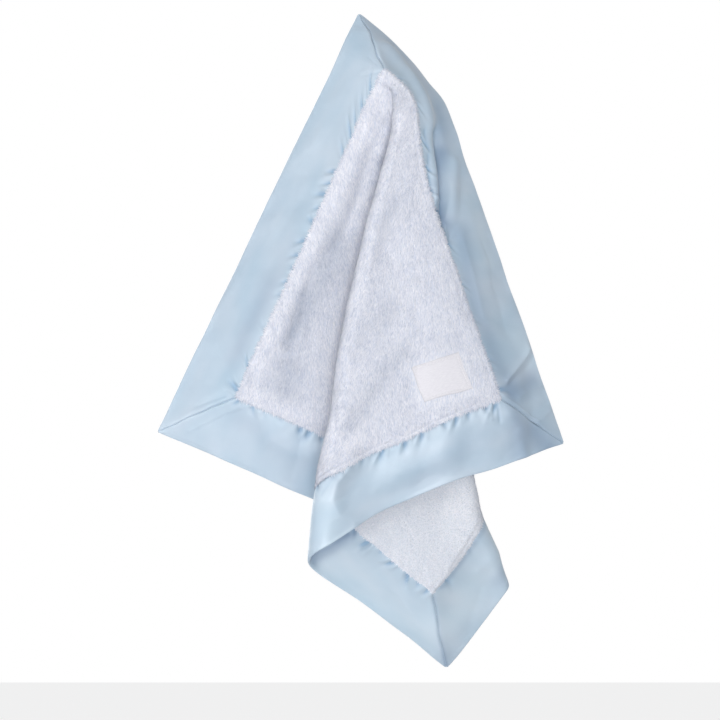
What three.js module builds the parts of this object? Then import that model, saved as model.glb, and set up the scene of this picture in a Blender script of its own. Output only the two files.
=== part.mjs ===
// A small square comfort blanket, plush on both faces with a wide satin border, hung by one
// corner so that it falls in three layers: a back one on the left, a middle one that comes out
// below with its other face showing, and a front one on the right with the label.
// Millimetres, +Z up, seen from -Y. The origin is where the top corner is held.
//
// Every piece is first laid out flat, in u along the upper left side and v along the upper
// right side, both from the plush's top corner. drape() then carries the flat cloth to the hang.

import * as THREE from "three";
import { mergeVertices } from "three/addons/utils/BufferGeometryUtils.js";

// Sizes of the cloth
const side = 380;
const border = 51;
const plushThickness = 2.6;
const plushEdgeThickness = 1.3;
const plushEdgeTaper = 14;
const plyGap = 0.3;
const satinThickness = 0.5;
const satinMouthGap = 1.6;
const satinPuffHeight = 1.2;
const threadDiameter = 0.5;
const clearance = 0.3;

// Sizes of the label
const labelLength = 38;
const labelWidth = 29.5;
const labelThickness = 0.5;
const labelSideInset = 19;
const labelLowerInset = 16.5;
const labelLongTurn = -8;
const labelShortTurn = 2;
const labelStitchInset = 2;

// Sizes of the hang, and how near two points are to be one
const backFoldRadius = 7;
const frontFoldRadius = 10;
const satinFoldRadius = 3.2;
const seamRoundingRadius = 3;
const outerCornerRadius = 3;
const weldDistance = 0.00001;

// Worked out from those
const panel = side - 2 * border;
const threadRadius = threadDiameter / 2;
const seamInset = threadRadius + clearance;
const leafInside = satinMouthGap / 2;
const leafOutside = leafInside + satinThickness;
const threadHeight = (leafInside + leafOutside) / 2;
const degree = Math.PI / 180;

// The hang's angles. The first three are places in the flat cloth, measured round the plush's
// top corner from its left seam: the middle of each long fold, and the right seam.
const backFoldAngle = 37.1 * degree;
const frontFoldAngle = 61 * degree;
const rightSeamAngle = 90 * degree;
const bottomCornerAngle = 45 * degree;
const leftSeamSwing = 24.4 * degree;
const leftSeamFlare = 8 * degree;
const fullTurn = 170 * degree;
const frontLean = 6 * degree;
const mostFold = 20 * degree;

// How fast the folds shut below the top corner, as shares of the plush's length
const foldShutShare = 0.16;
const flareShare = 0.084;
const leanShare = 0.5;
const apexFoldShare = 0.5;
const leastReachShare = 0.0001;

// Where the cloth is held, as shares of the border out from the plush's top corner
const holdShares = { pastRight: 0.763, pastLeft: 0.32 };

// Places seen from the front, as shares of the side, from the plush's top corner
const topCornerShares = { across: -0.053, down: -0.122 };
const leftCornerShares = { across: -0.467, down: 0.739 };

// The right seam and the right free edge: share along it, then across and down
const rightSeamShares = [
  [0, 0, 0],
  [0.06, 0.033, 0.027],
  [0.105, 0.053, 0.052],
  [0.152, 0.063, 0.084],
  [0.245, 0.07, 0.151],
  [0.35, 0.083, 0.226],
  [0.465, 0.105, 0.304],
  [0.66, 0.153, 0.436],
  [0.825, 0.19, 0.546],
  [1, 0.234, 0.669],
];
const rightEdgeShares = [
  [0, -0.053, -0.122],
  [0.074, 0.005, -0.076],
  [0.154, 0.059, -0.018],
  [0.206, 0.09, 0.024],
  [0.255, 0.12, 0.062],
  [0.323, 0.146, 0.122],
  [0.377, 0.161, 0.176],
  [0.442, 0.184, 0.237],
  [0.543, 0.218, 0.334],
  [0.644, 0.251, 0.43],
  [0.749, 0.286, 0.529],
  [0.864, 0.325, 0.64],
  [1, 0.367, 0.762],
];

// How far the free edges lie behind their seams, in shares of the border
const rightEdgeBackShares = [
  [0, 0.95],
  [0.134, 0.89],
  [0.27, 0.77],
  [0.4, 0.68],
  [1, 0.68],
];
const leftEdgeBackShares = [
  [0, 0.95],
  [0.134, 0.62],
  [0.27, 0.7],
  [0.73, 0.62],
  [1, 0.43],
];
// The left free edge is straight from the front, but foreshortened above the held corner
const leftEdgeRunShares = [
  [0, 0],
  [0.134, 0.0926],
  [0.25, 0.218],
  [1, 1],
];

// By angle in degrees: how long a ray from the top corner looks, how far the lower border
// tips, in degrees, with the share of it that goes back in place of into slack, and how far
// it swings outwards
const rayLengthShares = [
  [0, 1],
  [37, 1],
  [45, 1.031],
  [61, 1.025],
  [68, 0.997],
  [75, 0.987],
  [82, 0.974],
  [90, 0.968],
];
const borderTips = [
  [0, 14, 1],
  [26, 14, 1],
  [35, 7, 1],
  [45, 31, 1],
  [53, 29, 1],
  [60, 11, 0.9],
  [64, 10, 0.6],
  [67, 21, 0.3],
  [75, 27, 0.3],
  [81, 23, 0.3],
  [86, 13, 0.8],
  [90, 12, 1],
];
const borderSwings = [
  [0, 0],
  [20, 0.1],
  [37.1, 1.1],
  [45, 0.9],
  [90, 0],
];

// Soft waves across the hang: where and how wide in degrees, and depth share of the border
const waves = [
  { angle: 9, spreadAngle: 9, depthShare: -0.1 },
  { angle: 24, spreadAngle: 12, depthShare: 0.09 },
  { angle: 70, spreadAngle: 8, depthShare: 0.06 },
  { angle: 80, spreadAngle: 9, depthShare: -0.07 },
];

// Steps of the meshes
const rowShares = [
  0, 0.04, 0.09, 0.15, 0.22, 0.3, 0.39, 0.49, 0.6, 0.71, 0.81, 0.89, 0.95, 0.985, 1,
];
const backLayerSteps = 5;
const backFoldSteps = 6;
const middleSteps = 2;
const frontFoldSteps = 7;
const frontLayerSteps = 7;
const cornerSteps = 4;
const labelSteps = 5;
const threadSides = 4;
const stripRuns = 4;
const labelRuns = 2;
const mitreStepShares = [0.25, 0.5, 0.75];

const satinBlue = 0xb9cfe2;
const satin = () =>
  new THREE.MeshStandardMaterial({ color: satinBlue, roughness: 0.42, metalness: 0 });
const frontPlush = () =>
  new THREE.MeshStandardMaterial({ color: 0xe4e8f3, roughness: 0.95, metalness: 0 });
const backPlush = () =>
  new THREE.MeshStandardMaterial({ color: 0xdfe5f0, roughness: 0.98, metalness: 0 });
const thread = () =>
  new THREE.MeshStandardMaterial({ color: 0xc3d6e6, roughness: 0.7, metalness: 0 });
const labelWhite = () =>
  new THREE.MeshStandardMaterial({ color: 0xf1eff0, roughness: 0.6, metalness: 0 });
const labelThreadWhite = () =>
  new THREE.MeshStandardMaterial({ color: 0xecebf0, roughness: 0.7, metalness: 0 });

// Small helpers

function clamp(value, low, high) {
  return Math.min(Math.max(value, low), high);
}

function ease(share) {
  const t = clamp(share, 0, 1);
  return t * t * (3 - 2 * t);
}

// A smooth curve through rows of [place, value, ...], read at one place
function along(rows, place) {
  const last = rows.length - 1;
  const at = clamp(place, rows[0][0], rows[last][0]);
  let i = 0;
  while (i < last - 1 && at > rows[i + 1][0]) i += 1;
  const span = rows[i + 1][0] - rows[i][0];
  const t = (at - rows[i][0]) / span;
  return rows[i].slice(1).map((value, k) => {
    const slope = (j) => {
      const [low, high] = [rows[Math.max(j - 1, 0)], rows[Math.min(j + 1, last)]];
      return ((high[k + 1] - low[k + 1]) / (high[0] - low[0])) * span;
    };
    const next = rows[i + 1][k + 1];
    const bend = (1 - t) * slope(i) - t * slope(i + 1) + (2 * t - 1) * (next - value);
    return value + (next - value) * t + t * (1 - t) * bend;
  });
}

function counted(count, make) {
  return Array.from({ length: count }, (_, k) => make(k));
}

function mix(from, to, share) {
  return from.clone().lerp(to, share);
}

// A place seen from the front, at a depth away from the viewer
function place(across, down, depth) {
  return new THREE.Vector3(across * side, depth, -down * side);
}

const topOfPlush = place(0, 0, 0);

// Where the two long folds begin and end, as angles in the flat cloth, and how sharp they
// are. reach is the share of the way down the plush, and out the share across the border.
function folds(reach, out) {
  const down = Math.max(reach, leastReachShare);
  const turn = fullTurn * (1 - Math.exp(-down / foldShutShare));
  const lean = frontLean * ease(down / leanShare);
  const opening = apexFoldShare + (1 - apexFoldShare) * down;
  const backRadius = backFoldRadius + (satinFoldRadius - backFoldRadius) * out;
  const backBend = Math.min((turn * backRadius * opening) / (down * panel), mostFold);
  const frontBend = Math.min(
    ((turn + lean) * frontFoldRadius * opening) / (down * panel),
    mostFold,
  );
  return { turn, lean, backBend, frontBend };
}

// The hang's cross-section at one height: how far round, and how far forward, a place in the
// flat cloth ends up. It runs flat, turns back on itself, runs back, and turns forward again.
function section(reach, out, angle) {
  const { turn, lean, backBend, frontBend } = folds(reach, out);
  const backStart = backFoldAngle - backBend / 2;
  const backEnd = backFoldAngle + backBend / 2;
  const frontStart = frontFoldAngle - frontBend / 2;
  const frontEnd = frontFoldAngle + frontBend / 2;
  let round = Math.min(angle, backStart);
  let forward = 0;
  const inBack = clamp((angle - backStart) / backBend, 0, 1) * turn;
  const backSharp = backBend / turn;
  round += backSharp * Math.sin(inBack);
  forward += backSharp * (1 - Math.cos(inBack));
  const between = clamp(angle - backEnd, 0, frontStart - backEnd);
  round += between * Math.cos(turn);
  forward += between * Math.sin(turn);
  const inFront = clamp((angle - frontStart) / frontBend, 0, 1) * (turn + lean);
  const frontSharp = frontBend / (turn + lean);
  round += frontSharp * (Math.sin(turn) - Math.sin(turn - inFront));
  forward += frontSharp * (Math.cos(turn - inFront) - Math.cos(turn));
  const after = Math.max(angle - frontEnd, 0);
  round += after * Math.cos(lean);
  forward -= after * Math.sin(lean);
  return { round, forward };
}

function waveDepth(angle) {
  let depth = 0;
  for (const { angle: middle, spreadAngle, depthShare } of waves) {
    const off = (angle / degree - middle) / spreadAngle;
    depth += depthShare * border * Math.exp(-off * off);
  }
  return depth;
}

// How far a ray at this angle runs to the plush's outer seam
function rayToSeam(angle) {
  return panel / Math.max(Math.cos(angle), Math.sin(angle));
}

// The folded cloth below the top corner, before the right seam is drawn to its place
function foldedPlace(u, v) {
  const radius = Math.hypot(u, v);
  const angle = Math.atan2(v, u);
  const seam = rayToSeam(angle);
  const reach = Math.min(radius / seam, 1);
  const beyond = Math.max(radius - seam, 0);
  const out = clamp((beyond * panel) / (seam * border), 0, 1);
  const { round, forward } = section(reach, out, angle);
  const flare = leftSeamFlare * Math.exp(-reach / flareShare);
  const swing = out * along(borderSwings, angle / degree)[0] * degree;
  const bearing = round - leftSeamSwing - flare + swing;
  const stretch = 1 + (along(rayLengthShares, angle / degree)[0] - 1) * ease(reach);
  const [tipDegrees, backShare] = along(borderTips, angle / degree);
  const tip = tipDegrees * degree;
  const length = stretch * Math.min(radius, seam) + Math.cos(tip) * beyond;
  const tippedBack = Math.sin(tip) * backShare * beyond;
  const depth = waveDepth(angle) * ease(reach) + tippedBack - forward * length;
  return new THREE.Vector3(length * Math.sin(bearing), depth, -length * Math.cos(bearing));
}

function rightSeamPlace(share) {
  const [across, down] = along(rightSeamShares, share);
  const folded = foldedPlace(0, share * panel);
  return place(across, down, folded.y);
}

// The plush, and the lower border with it
function lowerPlace(u, v) {
  const made = foldedPlace(u, v);
  const angle = Math.atan2(v, u);
  const toRight = ease((angle - frontFoldAngle) / (rightSeamAngle - frontFoldAngle));
  if (toRight <= 0) return made;
  const reach = clamp(Math.hypot(u, v) / rayToSeam(angle), 0, 1);
  const shift = rightSeamPlace(reach).sub(foldedPlace(0, reach * panel));
  return made.addScaledVector(shift, toRight);
}

// The two upper free edges, by distance from the top corner
function leftEdgePlace(distance) {
  const share = distance / side;
  const [run] = along(leftEdgeRunShares, share);
  const [back] = along(leftEdgeBackShares, share);
  const top = topCornerShares;
  const across = top.across + (leftCornerShares.across - top.across) * run;
  const down = top.down + (leftCornerShares.down - top.down) * run;
  return place(across, down, back * border);
}

function rightEdgePlace(distance) {
  const share = distance / side;
  const [across, down] = along(rightEdgeShares, share);
  const [back] = along(rightEdgeBackShares, share);
  const seam = foldedPlace(0, clamp(distance - border, 0, panel));
  return place(across, down, seam.y + back * border);
}

const topCorner = leftEdgePlace(0);
const leftCorner = leftEdgePlace(side);
const rightCorner = rightEdgePlace(side);
const leftOfPlush = lowerPlace(panel, 0);
const rightOfPlush = lowerPlace(0, panel);

// An upper strip: distance along its free edge, and share across from the seam to that edge.
// Past the ends of its seam it stops at the mitre.
function upperStripPlace(distance, across, seamAt, edgeAt, plushEnd, outerEnd) {
  const left = side - distance;
  const depth = Math.min(distance, border, left) / border;
  let inner = seamAt(clamp(distance - border, 0, panel));
  if (distance < border) inner = mix(topCorner, topOfPlush, distance / border);
  if (left < border) inner = mix(outerEnd, plushEnd, left / border);
  const share = depth > 0 ? clamp((across - (1 - depth)) / depth, 0, 1) : 0;
  return mix(inner, edgeAt(distance), share);
}

// The end of a lower strip, between the mitre and the line where its seam begins
function lowerEndPlace(across, past, plushEnd, outerEnd, seamLine) {
  const inner = mix(plushEnd, outerEnd, past);
  const outer = mix(seamLine, outerEnd, past);
  const share = past < 1 ? clamp((across - past) / (1 - past), 0, 1) : 0;
  return mix(inner, outer, share);
}

// The whole flat cloth carried to the hang
function drape(u, v) {
  const pastLeft = -v / border;
  const pastRight = -u / border;
  const beyondLower = (u - panel) / border;
  const beyondRight = (v - panel) / border;
  if (v < 0 && pastLeft >= pastRight && pastLeft >= beyondLower) {
    const seam = (at) => lowerPlace(at, 0);
    const edge = leftEdgePlace;
    return upperStripPlace(u + border, pastLeft, seam, edge, leftOfPlush, leftCorner);
  }
  if (u < 0 && pastRight >= pastLeft && pastRight >= beyondRight) {
    const seam = (at) => lowerPlace(0, at);
    const edge = rightEdgePlace;
    return upperStripPlace(v + border, pastRight, seam, edge, rightOfPlush, rightCorner);
  }
  if (v < 0) {
    const line = lowerPlace(panel + border, 0);
    return lowerEndPlace(beyondLower, pastLeft, leftOfPlush, leftCorner, line);
  }
  if (u < 0) {
    const line = lowerPlace(0, panel + border);
    return lowerEndPlace(beyondRight, pastRight, rightOfPlush, rightCorner, line);
  }
  return lowerPlace(u, v);
}

// The cloth's front direction, rounded over a crease as the cloth is
function frontOf(u, v) {
  const low = -border;
  const high = panel + border;
  const span = (x) => [Math.max(x - seamRoundingRadius, low), Math.min(x + seamRoundingRadius, high)];
  const [u0, u1] = span(u);
  const [v0, v1] = span(v);
  const alongU = drape(u1, v).sub(drape(u0, v));
  const alongV = drape(u, v1).sub(drape(u, v0));
  return alongU.cross(alongV).normalize();
}

// A point of a piece: its place in the flat cloth, raised off the middle of the cloth
function raised([u, v], height) {
  return drape(u, v).addScaledVector(frontOf(u, v), height);
}

// Meshes

// Adds four-sided faces to a list of triangles, leaving out sides of no length
function addQuad(faces, a, b, c, d) {
  const same = (p, q) => p.distanceToSquared(q) === 0;
  if (!same(a, b) && !same(b, c) && !same(c, a)) faces.push(a, b, c);
  if (!same(a, c) && !same(c, d) && !same(d, a)) faces.push(a, c, d);
}

function meshOf(name, faces, material) {
  const geometry = new THREE.BufferGeometry().setFromPoints(faces);
  const mesh = new THREE.Mesh(mergeVertices(geometry, weldDistance), material);
  mesh.geometry.computeVertexNormals();
  mesh.name = name;
  return mesh;
}

// Sweeps closed loops of points into a solid, with caps that join each outer point to the
// inner point across from it: the loop's first half is its outside, its second half its inside.
// A loop goes to and fro across the cloth in so many runs. Every second run is split along its
// other diagonal, so that the two faces of a thin, twisted wall stay side by side.
function sweptShell(loops, runs) {
  const faces = [];
  const count = loops[0].length;
  for (let i = 0; i + 1 < loops.length; i += 1) {
    for (let k = 0; k < count; k += 1) {
      const n = (k + 1) % count;
      const corners = [loops[i][k], loops[i][n], loops[i + 1][n], loops[i + 1][k]];
      const run = Math.floor(((k + 0.5) / count) * runs);
      if (run % 2 === 1) corners.push(corners.shift());
      addQuad(faces, ...corners);
    }
  }
  const first = loops[0];
  const last = loops[loops.length - 1];
  for (let k = 0; k + 1 < count / 2; k += 1) {
    const across = count - 1 - k;
    addQuad(faces, first[k], first[across], first[across - 1], first[k + 1]);
    addQuad(faces, last[k], last[k + 1], last[across - 1], last[across]);
  }
  return faces;
}

// The same for a ring of loops, which has no ends
function sweptRing(loops) {
  const closed = [...loops, loops[0]];
  const faces = [];
  for (let i = 0; i + 1 < closed.length; i += 1) {
    for (let k = 0; k < closed[0].length; k += 1) {
      const n = (k + 1) % closed[0].length;
      addQuad(faces, closed[i][k], closed[i][n], closed[i + 1][n], closed[i + 1][k]);
    }
  }
  return faces;
}

// The flat cloth's ray angles, spaced to follow both folds
function rayAngles(reach, out) {
  const { backBend, frontBend } = folds(reach, out);
  const stops = [
    [0, backLayerSteps],
    [backFoldAngle - backBend / 2, backFoldSteps],
    [backFoldAngle + backBend / 2, middleSteps],
    [bottomCornerAngle, middleSteps],
    [frontFoldAngle - frontBend / 2, frontFoldSteps],
    [frontFoldAngle + frontBend / 2, frontLayerSteps],
    [rightSeamAngle, 0],
  ];
  const angles = [0];
  for (let i = 0; i + 1 < stops.length; i += 1) {
    const [from, steps] = stops[i];
    const to = stops[i + 1][0];
    for (let k = 1; k <= steps; k += 1) angles.push(from + ((to - from) * k) / steps);
  }
  return angles;
}

const cornerRay = backLayerSteps + backFoldSteps + middleSteps;

// Plush panels

function plushHeight(u, v) {
  const inside = Math.min(u, v, panel - u, panel - v) - seamInset;
  const rise = plushThickness - plushEdgeThickness;
  return plyGap / 2 + plushEdgeThickness + rise * ease(inside / plushEdgeTaper);
}

// facing is 1 for the front panel and -1 for the back one
function plushPanel(name, facing, material) {
  const inset = panel - 2 * seamInset;
  const rows = rowShares.map((reach) =>
    rayAngles(reach, 0).map((angle) => {
      const radius = reach * (inset / panel) * rayToSeam(angle);
      return [seamInset + radius * Math.cos(angle), seamInset + radius * Math.sin(angle)];
    }),
  );
  const surface = (height) =>
    rows.map((row) => row.map((spot) => raised(spot, facing * height(...spot))));
  const outer = surface(plushHeight);
  const inner = surface(() => plyGap / 2);
  const faces = [];
  const quad = (a, b, c, d) =>
    facing > 0 ? addQuad(faces, a, b, c, d) : addQuad(faces, d, c, b, a);
  const last = rows.length - 1;
  const right = rows[0].length - 1;
  for (let i = 0; i < last; i += 1) {
    for (let j = 0; j < right; j += 1) {
      quad(outer[i][j], outer[i + 1][j], outer[i + 1][j + 1], outer[i][j + 1]);
      quad(inner[i][j], inner[i][j + 1], inner[i + 1][j + 1], inner[i + 1][j]);
    }
    quad(outer[i][0], inner[i][0], inner[i + 1][0], outer[i + 1][0]);
    quad(outer[i][right], outer[i + 1][right], inner[i + 1][right], inner[i][right]);
  }
  for (let j = 0; j < right; j += 1) {
    quad(outer[last][j], inner[last][j], inner[last][j + 1], outer[last][j + 1]);
  }
  return meshOf(name, faces, material);
}

// Satin border strips. Each is one piece of satin folded over the free edge: a front leaf and
// a back leaf, puffed a little between the seam and the edge. A station is a pair of flat
// places, at the seam or mitre and at the free edge.

const leafShares = [
  [0, 0],
  [0.3, 1],
  [0.66, 0.7],
];

function stripLoop([inner, edge]) {
  const width = Math.hypot(edge[0] - inner[0], edge[1] - inner[1]);
  const puff = satinPuffHeight * Math.min(width / border, 1);
  const at = (share) => inner.map((from, k) => from + (edge[k] - from) * share);
  const wrap = (half, tuck) => {
    const turn = 1 - Math.min((tuck + leafOutside) / width, 1 - leafShares[2][0]) / 2;
    const leaf = [...leafShares.map(([share, rise]) => [share, half + puff * rise]), [turn, half]];
    const face = (sign) => leaf.map(([share, high]) => raised(at(share), sign * high));
    const nose = raised(at(1 - tuck / (width + tuck)), 0);
    return [...face(1), nose, ...face(-1).reverse()];
  };
  return [...wrap(leafOutside, 0), ...wrap(leafInside, satinThickness).reverse()];
}

function strip(name, stations) {
  return meshOf(name, sweptShell(stations.map(stripLoop), stripRuns), satin());
}

// How far a mitre's two strips keep from the diagonal, measured along the side
const mitreInset = seamInset * Math.SQRT2;

// Stations past the end of a seam, by distance past it, the outermost first
const cornerPasts = counted(cornerSteps, (k) =>
  Math.min((1 - k / cornerSteps) * border, border - outerCornerRadius),
);

// Stations of an upper strip as [distance along its seam from the top, distance outwards]
function upperStations() {
  const corner = cornerPasts.map((past) => [past + mitreInset, past]);
  const top = corner.map(([inner, past]) => [[-past, inner], [-past, border]]);
  const middle = rowShares.map((share, i) => {
    const atEnd = i === 0 || i === rowShares.length - 1;
    return [[share * panel, atEnd ? mitreInset : seamInset], [share * panel, border]];
  });
  const bottom = corner.map(([inner, past]) => [[panel + past, inner], [panel + past, border]]);
  return [...top, ...middle, ...bottom.reverse()];
}

// Flat distances along the two sides of one of the cloth's rays, where it meets a line that
// lies so far from the top corner
function onRay(angle, line) {
  return [line, line * Math.tan(Math.min(angle, rightSeamAngle - angle))];
}

// Stations of a lower strip from its upper end to the bottom mitre
function lowerStations(rays) {
  const end = cornerPasts.map((past) => [
    [panel + past + mitreInset, -past],
    [panel + border, -past],
  ]);
  const inner = rayAngles(1, 0);
  const outer = rayAngles(1, 1);
  const fan = rays.map((j, i) => {
    const inset = i === 0 ? mitreInset : seamInset;
    return [onRay(inner[j], panel + inset), onRay(outer[j], panel + border)];
  });
  const start = panel + seamInset;
  const mitre = [
    [start, start - mitreInset],
    [panel + border, panel + border - mitreInset],
  ];
  return [...end, ...fan, mitre];
}

const lastRay = rayAngles(1, 0).length - 1;
const leftRays = counted(cornerRay, (j) => j);
const rightRays = counted(lastRay - cornerRay, (j) => lastRay - j);

// Each strip's stations turned to its own side of the cloth
const turned = (stations, turn) => stations.map((pair) => pair.map(turn));
const toUpperLeft = ([run, out]) => [run, -out];
const toUpperRight = ([run, out]) => [-out, run];
const toLowerRight = ([out, run]) => [run, out];

// Threads. Each is laid in the lane between two pieces, along flat places.

// The thread's section at a flat place. across is the flat direction square to the thread,
// and rise(k) says how far each of its corners lies off the middle of the cloth.
function threadLoop([u, v], [acrossU, acrossV], rise) {
  return counted(threadSides, (k) => {
    const round = (2 * Math.PI * k) / threadSides;
    const off = threadRadius * Math.cos(round);
    return raised([u + off * acrossU, v + off * acrossV], rise(threadRadius * Math.sin(round)));
  });
}

const atHeight = (height) => (corner) => height + corner;

function seamThread(name, spots, across, facing) {
  const loops = spots.map((spot) => threadLoop(spot, across, atHeight(facing * threadHeight)));
  return meshOf(name, sweptShell(loops, 1), thread());
}

// Distances along an upper seam, stopping short of the corners
function seamRun() {
  const ends = { low: 2 * seamInset, high: panel - 2 * seamInset };
  return rowShares.map((share) => clamp(share * panel, ends.low, ends.high));
}

function lowerSeamSpots(rays) {
  const angles = rayAngles(1, 0);
  const spots = [...rays, cornerRay].map((j) => onRay(angles[j], panel));
  spots[0][1] = 2 * seamInset;
  spots[spots.length - 1][1] = panel - 2 * seamInset;
  return spots;
}

function seamThreads() {
  const lanes = [
    ["upper_left", seamRun().map((run) => [run, 0]), [0, 1]],
    ["upper_right", seamRun().reverse().map((run) => [0, run]), [1, 0]],
    ["lower_left", lowerSeamSpots(leftRays), [-1, 0]],
    ["lower_right", lowerSeamSpots(rightRays).map(toLowerRight).reverse(), [0, -1]],
  ];
  return [["front", 1], ["back", -1]].flatMap(([face, facing]) =>
    lanes.map(([name, spots, across]) =>
      seamThread(`${face}_seam_thread_${name}`, spots, across, facing),
    ),
  );
}

// A mitre's thread runs out along the front, round the corner and back along the other face
function mitreThread(name, [fromU, fromV], [outU, outV]) {
  const spot = (share) => [fromU + outU * border * share, fromV + outV * border * share];
  const across = [-outV * Math.SQRT1_2, outU * Math.SQRT1_2];
  const start = (2 * seamInset) / border;
  const wrapStart = 1 - threadDiameter / border;
  const run = [start, ...mitreStepShares, wrapStart];
  const outside = (facing) => (corner) => facing * (threadHeight + corner);
  const front = run.map((share) => threadLoop(spot(share), across, outside(1)));
  const back = run.map((share) => threadLoop(spot(share), across, outside(-1))).reverse();
  const tip = drape(...spot(1));
  const out = tip.clone().sub(drape(...spot(wrapStart))).normalize();
  const flat = threadLoop(spot(wrapStart), across, () => 0);
  const nose = flat.map((point, k) => {
    const corner = threadRadius * Math.sin((2 * Math.PI * k) / threadSides);
    return point.addScaledVector(out, threadHeight + corner);
  });
  return meshOf(name, sweptShell([...front, nose, ...back], 1), thread());
}

// Label

// The pulled cloth turns the label's long and short edges by different angles
const longTurned = labelLongTurn * degree;
const shortTurned = labelShortTurn * degree;
const labelMiddle = [
  labelSideInset + labelLength / 2,
  panel - labelLowerInset - labelWidth / 2,
];

// A place on the label, as distances from its middle
function onLabel(run, rise) {
  const u = run * Math.cos(longTurned) - rise * Math.sin(shortTurned);
  const v = run * Math.sin(longTurned) + rise * Math.cos(shortTurned);
  return [labelMiddle[0] + u, labelMiddle[1] + v];
}

const labelBottom = plyGap / 2 + plushThickness + clearance;
const labelTop = labelBottom + labelThickness;

function label() {
  const steps = (count, length) => counted(count + 1, (k) => (k / count - 0.5) * length);
  const loops = steps(labelSteps, labelLength).map((run) => {
    const row = (height, rises) => rises.map((rise) => raised(onLabel(run, rise), height));
    const rises = steps(labelSteps, labelWidth);
    return [...row(labelBottom, rises), ...row(labelTop, rises.reverse())];
  });
  return meshOf("label", sweptShell(loops, labelRuns), labelWhite());
}

// The way straight out through a rectangle's nearest edge
function wayOut([run, rise], halfRun, halfRise) {
  const onEnd = Math.abs(run) / halfRun > Math.abs(rise) / halfRise;
  return onEnd ? [Math.sign(run), 0] : [0, Math.sign(rise)];
}

// The label's stitching goes round just inside its edge, as one closed ring
function labelThread() {
  const run = labelLength / 2 - labelStitchInset;
  const rise = labelWidth / 2 - labelStitchInset;
  const corners = [[-run, -rise], [-run, rise], [run, rise], [run, -rise]];
  const height = labelTop + clearance + threadRadius;
  const loops = corners.flatMap(([fromRun, fromRise], i) => {
    const [toRun, toRise] = corners[(i + 1) % corners.length];
    return counted(labelSteps, (k) => {
      const share = k / labelSteps;
      const at = [fromRun + (toRun - fromRun) * share, fromRise + (toRise - fromRise) * share];
      const out = k === 0 ? [at[0] / run, at[1] / rise] : wayOut(at, run, rise);
      const across = onLabel(...out).map((x, j) => x - onLabel(0, 0)[j]);
      return threadLoop(onLabel(...at), across, atHeight(height));
    });
  });
  return meshOf("label_stitching", sweptRing(loops), labelThreadWhite());
}

const root = new THREE.Group();
const cloth = new THREE.Group();
cloth.add(plushPanel("front_plush_panel", 1, frontPlush()));
cloth.add(plushPanel("back_plush_panel", -1, backPlush()));
cloth.add(strip("border_upper_left", turned(upperStations(), toUpperLeft)));
cloth.add(strip("border_upper_right", turned(upperStations(), toUpperRight).reverse()));
cloth.add(strip("border_lower_left", lowerStations(leftRays)));
cloth.add(strip("border_lower_right", turned(lowerStations(rightRays), toLowerRight).reverse()));
cloth.add(...seamThreads());
cloth.add(mitreThread("mitre_thread_top", [0, 0], [-1, -1]));
cloth.add(mitreThread("mitre_thread_left", [panel, 0], [1, -1]));
cloth.add(mitreThread("mitre_thread_right", [0, panel], [-1, 1]));
cloth.add(mitreThread("mitre_thread_bottom", [panel, panel], [1, 1]));
cloth.add(label(), labelThread());

const held = raised([-holdShares.pastRight * border, -holdShares.pastLeft * border], leafOutside);
cloth.position.copy(held).negate();
root.add(cloth);

export default root;
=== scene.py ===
import math

import bpy
import numpy as np
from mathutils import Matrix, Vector


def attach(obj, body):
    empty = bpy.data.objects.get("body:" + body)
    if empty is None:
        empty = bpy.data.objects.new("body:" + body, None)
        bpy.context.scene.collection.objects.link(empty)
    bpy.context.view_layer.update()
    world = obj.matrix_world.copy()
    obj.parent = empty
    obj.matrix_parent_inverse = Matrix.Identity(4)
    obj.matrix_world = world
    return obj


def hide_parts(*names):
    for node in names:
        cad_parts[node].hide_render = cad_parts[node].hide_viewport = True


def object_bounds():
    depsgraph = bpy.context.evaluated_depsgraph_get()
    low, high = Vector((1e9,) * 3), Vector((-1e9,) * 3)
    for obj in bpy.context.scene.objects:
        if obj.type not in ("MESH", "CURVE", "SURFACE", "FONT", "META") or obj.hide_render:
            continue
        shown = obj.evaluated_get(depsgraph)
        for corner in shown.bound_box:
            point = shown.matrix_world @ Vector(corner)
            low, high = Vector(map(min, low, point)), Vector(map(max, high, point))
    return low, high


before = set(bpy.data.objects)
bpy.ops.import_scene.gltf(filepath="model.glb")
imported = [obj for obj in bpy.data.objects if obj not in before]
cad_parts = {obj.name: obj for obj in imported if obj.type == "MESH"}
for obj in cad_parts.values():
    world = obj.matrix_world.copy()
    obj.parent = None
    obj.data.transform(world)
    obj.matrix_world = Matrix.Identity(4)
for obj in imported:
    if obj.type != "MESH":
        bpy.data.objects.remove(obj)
cad_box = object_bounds()

# ---------------------------------------------------------------------------
# The front plush panel.
# A square of short brushed plush, the face of the blanket. It is cut square, laid back to back
# with the other panel and caught in the seam of the satin border all round.

MM = 0.001
DEGREE = math.pi / 180
SIDE = 380 * MM
BORDER = 51 * MM
PANEL = SIDE - 2 * BORDER
PLY_GAP = 0.3 * MM
PLUSH_HEIGHT = 2.6 * MM
SATIN_OUTSIDE = 1.3 * MM

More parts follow.
